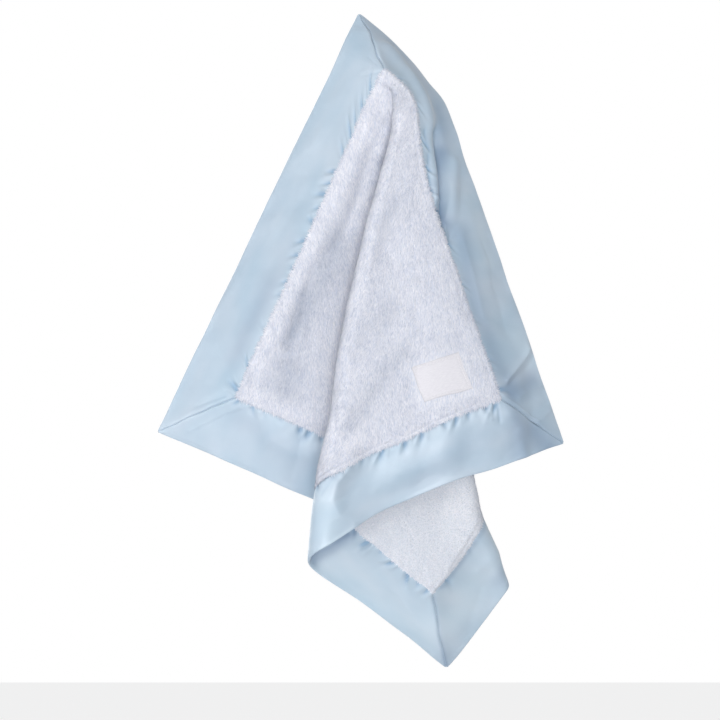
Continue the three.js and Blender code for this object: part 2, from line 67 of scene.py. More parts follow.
# The hang of the flat cloth: u runs along the upper left side and v along the upper right one,
# both from the plush's top corner. Angles are measured round that corner from the left seam.
BACK_FOLD_ANGLE, FRONT_FOLD_ANGLE, RIGHT_SEAM_ANGLE = 37.1 * DEGREE, 61 * DEGREE, 90 * DEGREE
LEFT_SWING, LEFT_FLARE = 24.4 * DEGREE, 8 * DEGREE
FULL_TURN, FRONT_LEAN, MOST_FOLD = 170 * DEGREE, 6 * DEGREE, 20 * DEGREE
BACK_FOLD_RADIUS, FRONT_FOLD_RADIUS, SATIN_FOLD_RADIUS = 7 * MM, 10 * MM, 3.2 * MM
FOLD_SHUT, FLARE_LENGTH, LEAN_LENGTH, APEX_FOLD = 0.16, 0.084, 0.5, 0.5
TOP_CORNER, LEFT_CORNER = (-0.053, -0.122), (-0.467, 0.739)
RIGHT_SEAM = [
    [0, 0, 0], [0.06, 0.033, 0.027], [0.105, 0.053, 0.052], [0.152, 0.063, 0.084],
    [0.245, 0.07, 0.151], [0.35, 0.083, 0.226], [0.465, 0.105, 0.304], [0.66, 0.153, 0.436],
    [0.825, 0.19, 0.546], [1, 0.234, 0.669],
]
RIGHT_EDGE = [
    [0, -0.053, -0.122], [0.074, 0.005, -0.076], [0.154, 0.059, -0.018], [0.206, 0.09, 0.024],
    [0.255, 0.12, 0.062], [0.323, 0.146, 0.122], [0.377, 0.161, 0.176], [0.442, 0.184, 0.237],
    [0.543, 0.218, 0.334], [0.644, 0.251, 0.43], [0.749, 0.286, 0.529], [0.864, 0.325, 0.64],
    [1, 0.367, 0.762],
]
RIGHT_EDGE_BACK = [[0, 0.95], [0.134, 0.89], [0.27, 0.77], [0.4, 0.68], [1, 0.68]]
LEFT_EDGE_BACK = [[0, 0.95], [0.134, 0.62], [0.27, 0.7], [0.73, 0.62], [1, 0.43]]
LEFT_EDGE_RUN = [[0, 0], [0.134, 0.0926], [0.25, 0.218], [1, 1]]
RAY_LENGTHS = [
    [0, 1], [37, 1], [45, 1.031], [61, 1.025], [68, 0.997], [75, 0.987], [82, 0.974], [90, 0.968],
]
# How far the lower border tips, in degrees, and the share of it that goes back, not into slack
BORDER_TIPS = [
    [0, 14, 1], [26, 14, 1], [35, 7, 1], [45, 31, 1], [53, 29, 1], [60, 11, 0.9], [64, 10, 0.6],
    [67, 21, 0.3], [75, 27, 0.3], [81, 23, 0.3], [86, 13, 0.8], [90, 12, 1],
]
BORDER_SWINGS = [[0, 0], [20, 0.1], [37.1, 1.1], [45, 0.9], [90, 0]]
WAVES = [(9, 9, -0.1), (24, 12, 0.09), (70, 8, 0.06), (80, 9, -0.07)]


def ease(x):
    """From 0 to 1, flat at both ends."""
    t = np.clip(x, 0, 1)
    return t * t * (3 - 2 * t)


def bell(x):
    """1 at zero, and softly down to nothing on both sides."""
    return np.exp(-(x**2))


def along(rows, at):
    """A smooth curve through rows of [place, value, ...], read at many places: one value for each,
    or as many as a row has."""
    rows = np.asarray(rows, float)
    x, y = rows[:, 0], rows[:, 1:]
    order = np.arange(len(x))
    before, after = np.maximum(order - 1, 0), np.minimum(order + 1, len(x) - 1)
    slope = (y[after] - y[before]) / (x[after] - x[before])[:, None]
    at = np.clip(at, x[0], x[-1])
    i = np.clip(np.searchsorted(x, at) - 1, 0, len(x) - 2)
    span = (x[i + 1] - x[i])[..., None]
    t = (at - x[i])[..., None] / span
    step = y[i + 1] - y[i]
    bend = (1 - t) * slope[i] * span - t * slope[i + 1] * span + (2 * t - 1) * step
    made = y[i] + step * t + t * (1 - t) * bend
    return made[..., 0] if y.shape[1] == 1 else made


def picture(across, down, depth):
    """A place seen from the front, in shares of the side, at a depth away from the viewer."""
    return np.stack(np.broadcast_arrays(across * SIDE, depth, -down * SIDE), -1)


def folded(u, v):
    """The cloth folded in three round the top corner, like the leaves of a fan."""
    radius, angle = np.hypot(u, v), np.arctan2(v, u)
    seam = PANEL / np.maximum(np.cos(angle), np.sin(angle))
    reach = np.minimum(radius / seam, 1)
    beyond = np.maximum(radius - seam, 0)
    out = np.clip(beyond * PANEL / (seam * BORDER), 0, 1)
    down = np.maximum(reach, 1e-4)
    turn = FULL_TURN * (1 - np.exp(-down / FOLD_SHUT))
    lean = FRONT_LEAN * ease(down / LEAN_LENGTH)
    opening = (APEX_FOLD + (1 - APEX_FOLD) * down) / (down * PANEL)
    back_radius = BACK_FOLD_RADIUS + (SATIN_FOLD_RADIUS - BACK_FOLD_RADIUS) * out
    back = np.minimum(turn * back_radius * opening, MOST_FOLD)
    front = np.minimum((turn + lean) * FRONT_FOLD_RADIUS * opening, MOST_FOLD)
    back_end, front_start = BACK_FOLD_ANGLE + back / 2, FRONT_FOLD_ANGLE - front / 2
    in_back = np.clip((angle - BACK_FOLD_ANGLE + back / 2) / back, 0, 1) * turn
    in_middle = np.clip(angle - back_end, 0, front_start - back_end)
    in_front = np.clip((angle - front_start) / front, 0, 1) * (turn + lean)
    after = np.maximum(angle - FRONT_FOLD_ANGLE - front / 2, 0)
    sharp = front / (turn + lean)
    bearing = (
        np.minimum(angle, BACK_FOLD_ANGLE - back / 2) + back / turn * np.sin(in_back)
        + in_middle * np.cos(turn) + sharp * (np.sin(turn) - np.sin(turn - in_front))
        + after * np.cos(lean)
    )
    forward = (
        back / turn * (1 - np.cos(in_back)) + in_middle * np.sin(turn)
        + sharp * (np.cos(turn - in_front) - np.cos(turn)) - after * np.sin(lean)
    )
    degrees = angle / DEGREE
    bearing = bearing - LEFT_SWING - LEFT_FLARE * np.exp(-reach / FLARE_LENGTH)
    bearing = bearing + out * along(BORDER_SWINGS, degrees) * DEGREE
    tips = along(BORDER_TIPS, degrees)
    tip, back_share = tips[..., 0] * DEGREE, tips[..., 1]
    stretch = 1 + (along(RAY_LENGTHS, degrees) - 1) * ease(reach)
    length = stretch * np.minimum(radius, seam) + np.cos(tip) * beyond
    wave = sum(share * BORDER * bell((degrees - at) / wide) for at, wide, share in WAVES)
    depth = wave * ease(reach) + np.sin(tip) * back_share * beyond - forward * length
    return np.stack([length * np.sin(bearing), depth, -length * np.cos(bearing)], -1)


def lower(u, v):
    """The plush and the lower border: the folded cloth with its right seam drawn to its place."""
    made, angle = folded(u, v), np.arctan2(v, u)
    to_right = ease((angle - FRONT_FOLD_ANGLE) / (RIGHT_SEAM_ANGLE - FRONT_FOLD_ANGLE))
    reach = np.clip(np.hypot(u, v) * np.maximum(np.cos(angle), np.sin(angle)) / PANEL, 0, 1)
    end = folded(0 * reach, reach * PANEL)
    across, down = np.moveaxis(along(RIGHT_SEAM, reach), -1, 0)
    return made + (picture(across, down, end[..., 1]) - end) * to_right[..., None]


def left_edge(distance):
    """The free edge of the upper left border, by the distance from its top."""
    run = along(LEFT_EDGE_RUN, distance / SIDE)
    across, down = (top + (low - top) * run for top, low in zip(TOP_CORNER, LEFT_CORNER))
    return picture(across, down, along(LEFT_EDGE_BACK, distance / SIDE) * BORDER)


def right_edge(distance):
    across, down = np.moveaxis(along(RIGHT_EDGE, distance / SIDE), -1, 0)
    seam = folded(0 * distance, np.clip(distance - BORDER, 0, PANEL))
    back = along(RIGHT_EDGE_BACK, distance / SIDE) * BORDER
    return picture(across, down, seam[..., 1] + back)


def between(start, end, share):
    return start + (end - start) * np.asarray(share)[..., None]


def unit(ways):
    return ways / np.maximum(np.linalg.norm(ways, axis=-1, keepdims=True), 1e-15)


AT = np.array
PLUSH_TOP, TOP_TIP = np.zeros(3), left_edge(AT(0.0))
# At each side: the plush's corner, the blanket's own, and the seam's line run out to the edge
LEFT_END = lower(AT(PANEL), AT(0.0)), left_edge(AT(SIDE)), lower(AT(PANEL + BORDER), AT(0.0))
RIGHT_END = lower(AT(0.0), AT(PANEL)), right_edge(AT(SIDE)), lower(AT(0.0), AT(PANEL + BORDER))


def upper_strip(distance, across, seam, edge, plush_end, outer_tip):
    """Distance along an upper free edge, and share across from the seam to that edge."""
    left = SIDE - distance
    depth = np.minimum(np.minimum(distance, BORDER), left) / BORDER
    inner = seam
    for off, tip, end in ((distance, TOP_TIP, PLUSH_TOP), (left, outer_tip, plush_end)):
        inner = np.where((off < BORDER)[..., None], between(tip, end, off / BORDER), inner)
    share = np.clip((across - (1 - depth)) / np.maximum(depth, 1e-9), 0, 1)
    return between(inner, edge, share)


def lower_end(across, past, plush_end, outer_tip, line):
    """The end of a lower strip, between the mitre and the line where its seam begins."""
    share = np.clip((across - past) / np.maximum(1 - past, 1e-9), 0, 1)
    return between(between(plush_end, outer_tip, past), between(line, outer_tip, past), share)


def hang(u, v):
    """The whole flat cloth carried to its hang, from the plush's top corner."""
    u, v = (np.array(x, float) for x in np.broadcast_arrays(u, v))
    past_left, past_right = -v / BORDER, -u / BORDER
    low, side = (u - PANEL) / BORDER, (v - PANEL) / BORDER
    on_left = (v < 0) & (past_left >= past_right) & (past_left >= low)
    on_right = ~on_left & (u < 0) & (past_right >= past_left) & (past_right >= side)
    at_low = ~on_left & ~on_right & (v < 0)
    at_side = ~on_left & ~on_right & ~at_low & (u < 0)
    rest = ~(on_left | on_right | at_low | at_side)
    place = np.empty(u.shape + (3,))
    place[rest] = lower(u[rest], v[rest])
    a, b = u[on_left] + BORDER, v[on_right] + BORDER
    seam = lower(np.clip(u[on_left], 0, PANEL), 0 * a)
    place[on_left] = upper_strip(a, past_left[on_left], seam, left_edge(a), *LEFT_END[:2])
    seam = lower(0 * b, np.clip(v[on_right], 0, PANEL))
    place[on_right] = upper_strip(b, past_right[on_right], seam, right_edge(b), *RIGHT_END[:2])
    place[at_low] = lower_end(low[at_low], past_left[at_low], *LEFT_END)
    place[at_side] = lower_end(side[at_side], past_right[at_side], *RIGHT_END)
    return place


def facing(place_at, u, v, reach):
    """The unit direction of the cloth's front, rounded over a crease by the reach."""
    low, high = -BORDER, PANEL + BORDER
    step_u = place_at(np.minimum(u + reach, high), v) - place_at(np.maximum(u - reach, low), v)
    step_v = place_at(u, np.minimum(v + reach, high)) - place_at(u, np.maximum(v - reach, low))
    return unit(np.cross(step_u, step_v))


# The place on the border, beside the top corner, where the cloth is held
HELD_AT = AT(-0.763 * BORDER), AT(-0.32 * BORDER)
HELD = hang(*HELD_AT) + SATIN_OUTSIDE * facing(hang, *HELD_AT, 3 * MM)


def pressed(x, y, rows, sharp):
    """The rise of folds pressed into cloth. Each row is half width, rise, then the places the fold
    runs through, in mm; a sharp fold has a keen line, and another a round one."""
    rise = 0.0
    for wide, high, *stops in rows:
        off = 1e9
        for from_x, from_y, to_x, to_y in zip(stops[0::2], stops[1::2], stops[2::2], stops[3::2]):
            run_x, run_y = to_x - from_x, to_y - from_y
            off_x, off_y = x / MM - from_x, y / MM - from_y
            share = np.clip((off_x * run_x + off_y * run_y) / (run_x**2 + run_y**2), 0, 1)
            off = np.minimum(off, np.hypot(off_x - share * run_x, off_y - share * run_y) / wide)
        rise = rise + high * MM * (np.exp(0.35 - np.hypot(off, 0.35)) if sharp else bell(off))
    return rise


def soft_noise(*axes, size, seed):
    """A smooth random field from -1 to 1 over two or three axes, with blobs of that size."""
    table = np.random.default_rng(seed).uniform(-1, 1, (256,) * 2 if len(axes) == 2 else (64,) * 3)
    cells = [axis / size + 64.5 for axis in axes]
    whole = [np.floor(c).astype(int) for c in cells]
    shares = [ease(c - w) for c, w in zip(cells, whole)]
    total = 0.0
    for corner in np.ndindex((2,) * len(axes)):
        weight = 1.0
        for far, share in zip(corner, shares):
            weight = weight * (share if far else 1 - share)
        cell = tuple((w + far) % len(table) for w, far in zip(whole, corner))
        total = total + weight * table[cell]
    return total


def uneven(kind, seed, *axes):
    """A small unevenness; kind is its height and its size."""
    height, size = kind
    return height * soft_noise(*axes, size=size, seed=seed)


# Folds that the whole cloth keeps beside the three long ones, in mm of the flat cloth
KEPT_FOLDS = [
    # on the left layer: the notch where the front layer starts, then its long soft folds
    (4, -4.2, 9, 9, 20, 22, 41, 27, 66, 31),
    (6, -2.4, 60, 16, 92, 20, 124, 22, 142, 20, 162, 13, 191, 15, 224, 18),
    (7, 1.6, 38, 7, 140, 7, 251, 9), (18, -5.0, 96, 46, 150, 60, 200, 74, 250, 90),
    # on the front layer
    (9, -1.6, 15, 117, 37, 123, 54, 136), (10, -1.8, 95, 200, 150, 250),
    (14, 0.9, 60, 150, 90, 230), (9, -1.2, 40, 190, 66, 262),
    # on the upper right border
    (9, 4.6, -30, -12, -26, 0, -20, 21, -17, 43, -17, 58),
    (6, -6.0, -24, 66, -21, 97, -13, 115, -9, 134, -8, 146),
    (4, 1.8, -11, 68, -10, 84, -7, 100, -5, 112), (5, 2.0, -38, 94, -28, 111, -16, 129, -6, 144),
    (12, 1.8, -32, 134, -33, 163, -29, 187), (8, -1.5, -5, 160, -5, 188, -7, 215),
    (8, -1.4, -40, 262, -26, 300),
    # on the lower borders
    (8, 3.2, 123, 276, 137, 284, 146, 297, 146, 311, 140, 326),
    (16, -1.8, 106, 286, 114, 306, 110, 326), (7, 2.0, -5, 292, -11, 304, -8, 313, -6, 328),
    (13, 0.9, 60, 302, 118, 304), (14, 0.9, 298, 40, 298, 66), (12, -0.9, 302, 84, 306, 110),
]
# Painted shade and painted light, in the colour: rows that make it deeper, standing in for shade,
# or paler where the share is below 0, standing in for light. Half width, share, then places, in mm
# of the flat cloth
FRONT_PAINTED_SHADES = [
    # on the left layer
    (11, 0.75, 135, 20, 165, 22, 190, 21, 212, 21), (14, 0.65, 240, 27, 254, 30),
    (5, 0.4, 182, 12, 206, 17, 224, 19), (5, 0.4, 64, 26, 86, 31), (3, 0.8, 8, 15, 20, 24, 38, 29),
    (9, -0.3, 8, 4, 56, 8), (6, -0.25, 80, 4, 250, 4), (6, -0.3, 272, 12, 270, 58),
    # on the front layer
    (8, 0.4, 118, 250, 90, 232, 62, 214), (7, 0.35, 28, 100, 44, 108), (10, 0.3, 60, 178, 88, 190),
    (7, -0.45, 14, 38, 24, 48), (9, -0.35, 116, 262, 124, 250),
    # on the upper right border
    (7, 0.5, -34, 50, -33, 66), (7, 1.45, -28, 83, -22, 92, -12, 105, -9, 118, -8, 134),
    (9, 0.85, -17, 146, -14, 162, -9, 182, -8, 207, -8, 233, -9, 257, -15, 268),
    (9, -0.4, -40, 125, -40, 150, -36, 172), (9, -0.5, -40, 238, -44, 256),
    (8, 1.0, -12, 280, -40, 272), (12, 0.45, -44, -30, -38, 30, -36, 70),
    (10, 0.9, -8, 298, -2, 326), (12, 1.1, -24, 312, -32, 326),
    # on the upper left border and the lower ones
    (14, 0.2, 120, -40, 285, -44), (10, 0.3, 150, -12, 240, -14),
    (9, 0.45, 188, -14, 222, -15, 252, -14), (10, 0.4, 291, 8, 296, 28, 299, 54),
    (12, 0.25, 286, 72, 324, 72), (12, 0.35, 82, 314, 54, 310, 25, 302),
    (8, -0.55, 150, 296, 158, 329), (1.5, -0.5, 142, 327, 166, 328),
]
# The same painted shade and painted light on the other face, which the turned bottom corner shows
BACK_PAINTED_SHADES = [
    (24, -0.6, 206, 318, 290, 318), (22, -0.5, 304, 200, 304, 280), (16, -0.3, 262, 200, 262, 230),
    (12, -0.4, 302, 268, 311, 278, 309, 296), (7, 0.7, 318, 236, 318, 250),
    (12, -0.45, 249, 220, 262, 200), (4.5, 1.3, 204, 282, 199, 302, 192, 324),
    (2, 0.9, 201, 286, 198, 296, 194, 308, 190, 318, 187, 328), (6, 0.5, 322, 322, 329, 329),
    (1.3, 0.9, 281, 281, 327, 327), (2.5, 0.9, 280, 196, 280, 272),
]
# Where a seam wanders over the hung cloth: place, reach, and shift along u and v, in mm
WANDERINGS = [
    (278, 236, 30, 34, 6.0, 0), (-35, -35, 9, 9, -1.3, 1.3), (-13, -13, 7, 7, 0.8, -0.8),
]

# The hung cloth, worked out once on a fine grid of the flat cloth and read from there, with its
# small unevenness: wide and narrow swells, and a waver of the seams that stops near the edges
CELL = 0.5 * MM
WIDE_SWELLS, NARROW_SWELLS = (0.9 * MM, 42 * MM), (0.35 * MM, 19 * MM)
WAVER, EDGE_ROOM = (0.5 * MM, 12 * MM), 15 * MM
BEND_REACH, BEND_ROOM, BEND_CELLS = 12 * MM, 16 * MM, 8
flat_line = np.arange(round((PANEL + 2 * BORDER) / CELL) + 1) * CELL - BORDER
cloth_u, cloth_v = np.meshgrid(flat_line, flat_line, indexing="ij")
undulation = pressed(cloth_u, cloth_v, KEPT_FOLDS, False)
undulation = undulation + uneven(WIDE_SWELLS, 3, cloth_u, cloth_v)
undulation = undulation + uneven(NARROW_SWELLS, 4, cloth_u, cloth_v)
inland = ease(np.minimum(cloth_u + BORDER, cloth_v + BORDER) / EDGE_ROOM)
inland = inland * ease((PANEL + BORDER - np.maximum(cloth_u, cloth_v)) / EDGE_ROOM)
shift_u, shift_v = (uneven(WAVER, seed, cloth_u, cloth_v) for seed in (5, 6))
for at_u, at_v, reach_u, reach_v, move_u, move_v in WANDERINGS:
    near = bell((cloth_u / MM - at_u) / reach_u) * bell((cloth_v / MM - at_v) / reach_v)
    shift_u, shift_v = shift_u + move_u * MM * near, shift_v + move_v * MM * near


def smoothed(places, axis, reach):
    """A grid of places averaged over so many cells each way along one axis, three times over."""
    for _ in range(3):
        room = [(reach + 1, reach) if k == axis else (0, 0) for k in range(3)]
        total = np.moveaxis(np.cumsum(np.pad(places, room, mode="edge"), axis), axis, 0)
        mean = (total[2 * reach + 1:] - total[:-2 * reach - 1]) / (2 * reach + 1)
        places = np.moveaxis(mean, 0, axis)
    return places


def fronts_of(places, reach):
    """Unit directions of the front face over a grid of places, taken over so many cells."""
    wide = np.pad(places, ((reach, reach), (reach, reach), (0, 0)), mode="edge")
    along_u = wide[2 * reach:, reach:-reach] - wide[:-2 * reach, reach:-reach]
    along_v = wide[reach:-reach, 2 * reach:] - wide[reach:-reach, :-2 * reach]
    return unit(np.cross(along_u, along_v))


CLOTH = hang(cloth_u + shift_u * inland, cloth_v + shift_v * inland) - HELD
# The lower strips bend softly where they pass the side seams
for axis, over, past in ((0, cloth_u, cloth_v), (1, cloth_v, cloth_u)):
    bend = bell(over / BEND_REACH) * ease((past - PANEL + BEND_ROOM) / BEND_ROOM)
    CLOTH = CLOTH + (smoothed(CLOTH, axis, BEND_CELLS) - CLOTH) * bend[..., None]
CLOTH = CLOTH + fronts_of(CLOTH, 6) * undulation[..., None]
CLOTH_FRONT = fronts_of(CLOTH, 3)


def read(table, u, v):
    """What a table over the flat cloth holds at any place on it."""
    x, y = (np.clip((t + BORDER) / CELL, 0, len(flat_line) - 1.0001) for t in (u, v))
    i, j = x.astype(int), y.astype(int)
    a, b = (x - i)[..., None], (y - j)[..., None]
    low = table[i, j] + (table[i + 1, j] - table[i, j]) * a
    high = table[i, j + 1] + (table[i + 1, j + 1] - table[i, j + 1]) * a
    return low + (high - low) * b


def front_at(u, v):
    return unit(read(CLOTH_FRONT, u, v))


def raised(u, v, height):
    """Places on the cloth at a height off its middle: positive on the front face."""
    u, v = np.broadcast_arrays(np.asarray(u, float), np.asarray(v, float))
    return read(CLOTH, u, v) + front_at(u, v) * np.asarray(height)[..., None]


def keep(mesh, name, values):
    """Gives each point of a piece a value, or a place, that its finish reads."""
    kind, field = ("FLOAT", "value") if values.ndim == 1 else ("FLOAT_VECTOR", "vector")
    made = mesh.attributes.new(name, kind, "POINT")
    made.data.foreach_set(field, values.astype(np.float32).ravel())


def keep_place(mesh, flat, face):
    """Gives each point of a piece its place on the flat cloth and in the nap, in mm, and its
    painted shade, for its finish. face is above 0 on the front of the cloth and below it on the
    other face."""
    u, v = flat[:, 0], flat[:, 1]
    front_shade, back_shade = (pressed(u, v, rows, False) for rows in (FRONT_PAINTED_SHADES, BACK_PAINTED_SHADES))
    keep(mesh, "shade", np.where(face > 0, front_shade, back_shade) / MM)
    keep(mesh, "flat_mm", np.stack([u, v, 0 * u], -1) / MM)
    keep(mesh, "nap_mm", np.stack(nap(u, v), -1) / MM)


def keep_map(mesh, on_map):
    """Lays a piece's faces out on a flat map, by the place there of each of its points."""
    corner = np.empty(len(mesh.loops), np.int32)
    mesh.loops.foreach_get("vertex_index", corner)
    layer = mesh.uv_layers.new(name="OFBake")
    layer.uv.foreach_set("vector", on_map[corner].astype(np.float32).ravel())


def placed(name, data):
    """A new thing in the scene, with its mesh, lamp or camera."""
    made = bpy.data.objects.new(name, data)
    bpy.context.scene.collection.objects.link(made)
    return made


def meshed(name, places, faces):
    """A new smooth mesh of places and of faces that list them."""
    mesh = bpy.data.meshes.new(name)
    mesh.from_pydata(places.reshape(-1, 3).tolist(), [], faces)
    mesh.polygons.foreach_set("use_smooth", np.ones(len(mesh.polygons), bool))
    return mesh


def quads_of(ids):
    """The four points of each cell in a grid of point numbers."""
    return np.stack([ids[:-1, :-1], ids[1:, :-1], ids[1:, 1:], ids[:-1, 1:]], -1).reshape(-1, 4)


def shell(name, outer, inner, flat, every, face=1):
    """A closed thin sheet. outer is a fine grid of places and inner a coarse one behind it, which
    takes every so many points; their edges are joined all round."""
    face, step = np.broadcast_to(face, flat.shape[:2]), slice(None, None, every)
    ids = np.arange(face.size).reshape(face.shape)
    back = face.size + np.arange(face[step, step].size).reshape(face[step, step].shape)
    faces = quads_of(ids).tolist() + np.roll(quads_of(back)[:, ::-1], 1, 1).tolist()
    for rim in (np.s_[::-1, 0], np.s_[0, :], np.s_[:, -1], np.s_[-1, ::-1]):
        front, rear = ids[rim].tolist(), back[rim].tolist()
        for k in range(len(rear) - 1):
            faces.append(front[k * every:(k + 1) * every + 1][::-1] + rear[k:k + 2])
    places = np.concatenate([outer.reshape(-1, 3), inner.reshape(-1, 3)])
    mesh = meshed(name, places, faces)
    mesh.validate()
    flat_places = np.concatenate([flat.reshape(-1, 2), flat[step, step].reshape(-1, 2)])
    keep_place(mesh, flat_places, np.r_[face.ravel(), face[step, step].ravel()])
    # The outer sheet takes up the map but for a narrow band, which holds the hidden inner one
    parts = []
    for grid, low, high in ((ids, 0.05, 1), (back, 0, 0.04)):
        lines = np.linspace(0, 1, len(grid)), np.linspace(low, high, grid.shape[1])
        parts.append(np.stack(np.meshgrid(*lines, indexing="ij"), -1).reshape(-1, 2))
    keep_map(mesh, np.concatenate(parts))
    return placed(name, mesh)


# The label's size and place, as the pile keeps clear of it: how far in from the right seam and the
# lower one it lies, and how its sides turn from them
LABEL_LENGTH, LABEL_WIDTH, LABEL_THICKNESS = 38 * MM, 29.5 * MM, 0.5 * MM
LABEL_SIDE_INSET, LABEL_LOWER_INSET = 19 * MM, 16.5 * MM
LABEL_LONG_TURN, LABEL_SHORT_TURN = -8 * DEGREE, 2 * DEGREE
LABEL_MIDDLE = (LABEL_SIDE_INSET + LABEL_LENGTH / 2, PANEL - LABEL_LOWER_INSET - LABEL_WIDTH / 2)


def off_label(u, v):
    """How far outside the label's edge a place on the cloth lies, in metres."""
    x, y = u - LABEL_MIDDLE[0], v - LABEL_MIDDLE[1]
    square = math.cos(LABEL_LONG_TURN - LABEL_SHORT_TURN)
    run = (x * math.cos(LABEL_SHORT_TURN) + y * math.sin(LABEL_SHORT_TURN)) / square
    rise = (y * math.cos(LABEL_LONG_TURN) - x * math.sin(LABEL_LONG_TURN)) / square
    return np.maximum(np.abs(run) - LABEL_LENGTH / 2, np.abs(rise) - LABEL_WIDTH / 2)


# Pile height by distance in from the seam, and how deep the topstitch's groove is, which only
# shows along some sides: those at u = 0, v = 0, the far u and the far v, on the front and back
PILE_PROFILE = [
    [-0.7, 0.8], [0.3, 1.6], [1.5, 2.0], [3.2, 2.15], [5.5, 2.3], [10, 2.55], [16, 2.7], [400, 2.7],
]
GROOVES = {1: (0.35, 0.1, 0.15, 1.0), -1: (0.3, 0.3, 0.6, 0.15)}


def pile_height(u, v, sign):
    from_sides = np.stack([u, v, PANEL - u, PANEL - v]) / MM
    height = along(PILE_PROFILE, from_sides.min(0))
    for off, deep in zip(from_sides, GROOVES[sign]):
        height = height + deep * (0.25 * bell(off - 1.3) - 0.85 * bell((off - 3.4) / 1.1))
    return height * MM


def nap(u, v):
    """Places on the hung cloth as distance down the hang, across and back: the pile hangs down."""
    x, y, z = np.moveaxis(read(CLOTH, u, v), -1, 0)
    return -z, x, y


def nap_heading(u, v):
    """The way down the hang, as an angle on the flat cloth."""
    step = 4 * MM
    down_u = nap(u + step, v)[0] - nap(u - step, v)[0]
    down_v = nap(u, v + step)[0] - nap(u, v - step)[0]
    return np.arctan2(down_v, down_u)


def tufts(u, v, size, seed):
    """Brushed tufts, longer along the nap."""
    down, across, back = nap(u, v)
    coarse = soft_noise(down / 3, across, back, size=size, seed=seed)
    fine = soft_noise(down / 2.4, across, back, size=size * 0.6, seed=seed + 1)
    return 0.55 * coarse + 0.45 * fine


# Lumps in the pile, and the swirls of its loose fibres, the first of which is an angle
PILE_LUMPS, SWIRLS = (0.16 * MM, 9 * MM), (0.3, 20 * MM)
PLUSH_LAP, LABEL_ROOM = 0.7 * MM, 2 * MM


def plush(name, sign, tuft_height, tuft_size, seed):
    """One plush panel with its pile; sign is 1 for the front face and -1 for the back."""
    steps, every = 400, 4
    edge = np.linspace(-PLUSH_LAP, PANEL + PLUSH_LAP, steps + 1)
    u, v = np.meshgrid(edge, edge, indexing="ij")
    inside = np.minimum(np.minimum(u, v), np.minimum(PANEL - u, PANEL - v))
    height = pile_height(u, v, sign)
    loose = ease((inside / MM + 1) / 3)
    if sign > 0:
        loose = loose * (0.15 + 0.85 * ease(off_label(u, v) / LABEL_ROOM))
    height = height + tuft_height * loose * tufts(u, v, tuft_size, seed)
    height = height + loose * uneven(PILE_LUMPS, seed + 7, u, v)
    outer = raised(u, v, sign * (PLY_GAP / 2 + height))
    back = slice(None, None, every)
    inner = raised(u[back, back], v[back, back], sign * PLY_GAP / 2)
    flat = np.stack([u, v], -1)
    if sign < 0:
        outer, inner, flat = (np.swapaxes(x, 0, 1) for x in (outer, inner, flat))
    return shell(name, outer, inner, flat, every, sign)


# A loose fibre's five points: shares of its length, of its width to one side, and of its lift
FIBRE_POINTS = [
    (0, -0.5, -0.35), (0, 0.5, -0.35), (0.5, -0.42, 0.9), (0.5, 0.42, 0.9), (1, 0, 0.9),
]


def ribbons(name, u, v, heading, length, width, base, lift, sign):
    """Fine tapered fibres of the pile, rooted at flat places and lying along their headings."""
    cu, cv = np.cos(heading), np.sin(heading)
    places = []
    for share, side, arch in FIBRE_POINTS:
        pu = u + cu * length * share - cv * side * width
        pv = v + cv * length * share + cu * side * width
        places.append(raised(pu, pv, sign * (base + lift * arch)))
    count = len(u)
    start = 5 * np.arange(count)[:, None]
    quads = (start + np.array([0, 1, 3, 2])).tolist()
    tips = (start + np.array([2, 3, 4])).tolist()
    if sign < 0:
        quads, tips = [q[::-1] for q in quads], [t[::-1] for t in tips]
    mesh = meshed(name, np.stack(places, 1), quads + tips)
    flat = np.repeat(np.stack([u, v], -1), 5, 0)
    keep_place(mesh, flat, sign)
    # Each fibre lies on the map as a narrow strip, about where it is rooted
    on_map = flat / PANEL * 0.95 + 0.02
    on_map[:, 0] += np.tile(np.array([-1, 1, -1, 1, 0]) * 0.0011, count)
    on_map[:, 1] += np.tile(np.array([0, 0, 1, 1, 2]) * 0.004, count)
    keep_map(mesh, on_map)
    return placed(name, mesh)


# A loose fibre's width. Beside the seams is a fringe: its width, its fibres per millimetre, how far
# they spread, in radians, and their length and lift beside those of the others
FIBRE_WIDTH = 0.45 * MM
FRINGE_WIDTH, FRINGE_COUNT, FRINGE_SPREAD, FRINGE_LENGTH, FRINGE_LIFT = 2.2 * MM, 4, 0.55, 0.8, 0.3


def pile(name, sign, count, reach, spread, seed):
    """The loose fibres over a panel, with a fringe of them that hides its seam."""
    draw = np.random.default_rng(seed)
    u, v = draw.uniform(0, PANEL, (2, count))
    if sign > 0:
        clear = off_label(u, v) > reach + 1 * MM
        u, v = u[clear], v[clear]
    heading = nap_heading(u, v) + spread * draw.normal(0, 1, len(u)) + uneven(SWIRLS, seed, u, v)
    # The fringe: fibres that lie out over each of the four seams
    per_side = int(PANEL / MM * FRINGE_COUNT)
    run, into = draw.uniform(0, PANEL, (2, 4 * per_side))
    into = into / PANEL * FRINGE_WIDTH
    side = np.repeat(np.arange(4), per_side)
    edge_u = np.choose(side, [run, into, PANEL - into, run])
    edge_v = np.choose(side, [into, run, run, PANEL - into])
    outward = np.choose(side, [-90.0, 180.0, 0.0, 90.0]) * DEGREE
    outward = outward + FRINGE_SPREAD * draw.normal(0, 1, len(run))
    u, v, heading = np.r_[u, edge_u], np.r_[v, edge_v], np.r_[heading, outward]
    length = reach * draw.uniform(0.7, 1.25, len(u))
    length[-len(run):] *= FRINGE_LENGTH
    base = PLY_GAP / 2 + pile_height(u, v, sign)
    lift = draw.uniform(0.2, 0.8, len(u)) * MM
    lift[-len(run):] *= FRINGE_LIFT
    return ribbons(name, u, v, heading, length, FIBRE_WIDTH, base, lift, sign)


def nodes_of(name):
    """A new node material, with its tree and its shader."""
    material = bpy.data.materials.new(name)
    material.use_nodes = True
    return material, material.node_tree, material.node_tree.nodes["Principled BSDF"]


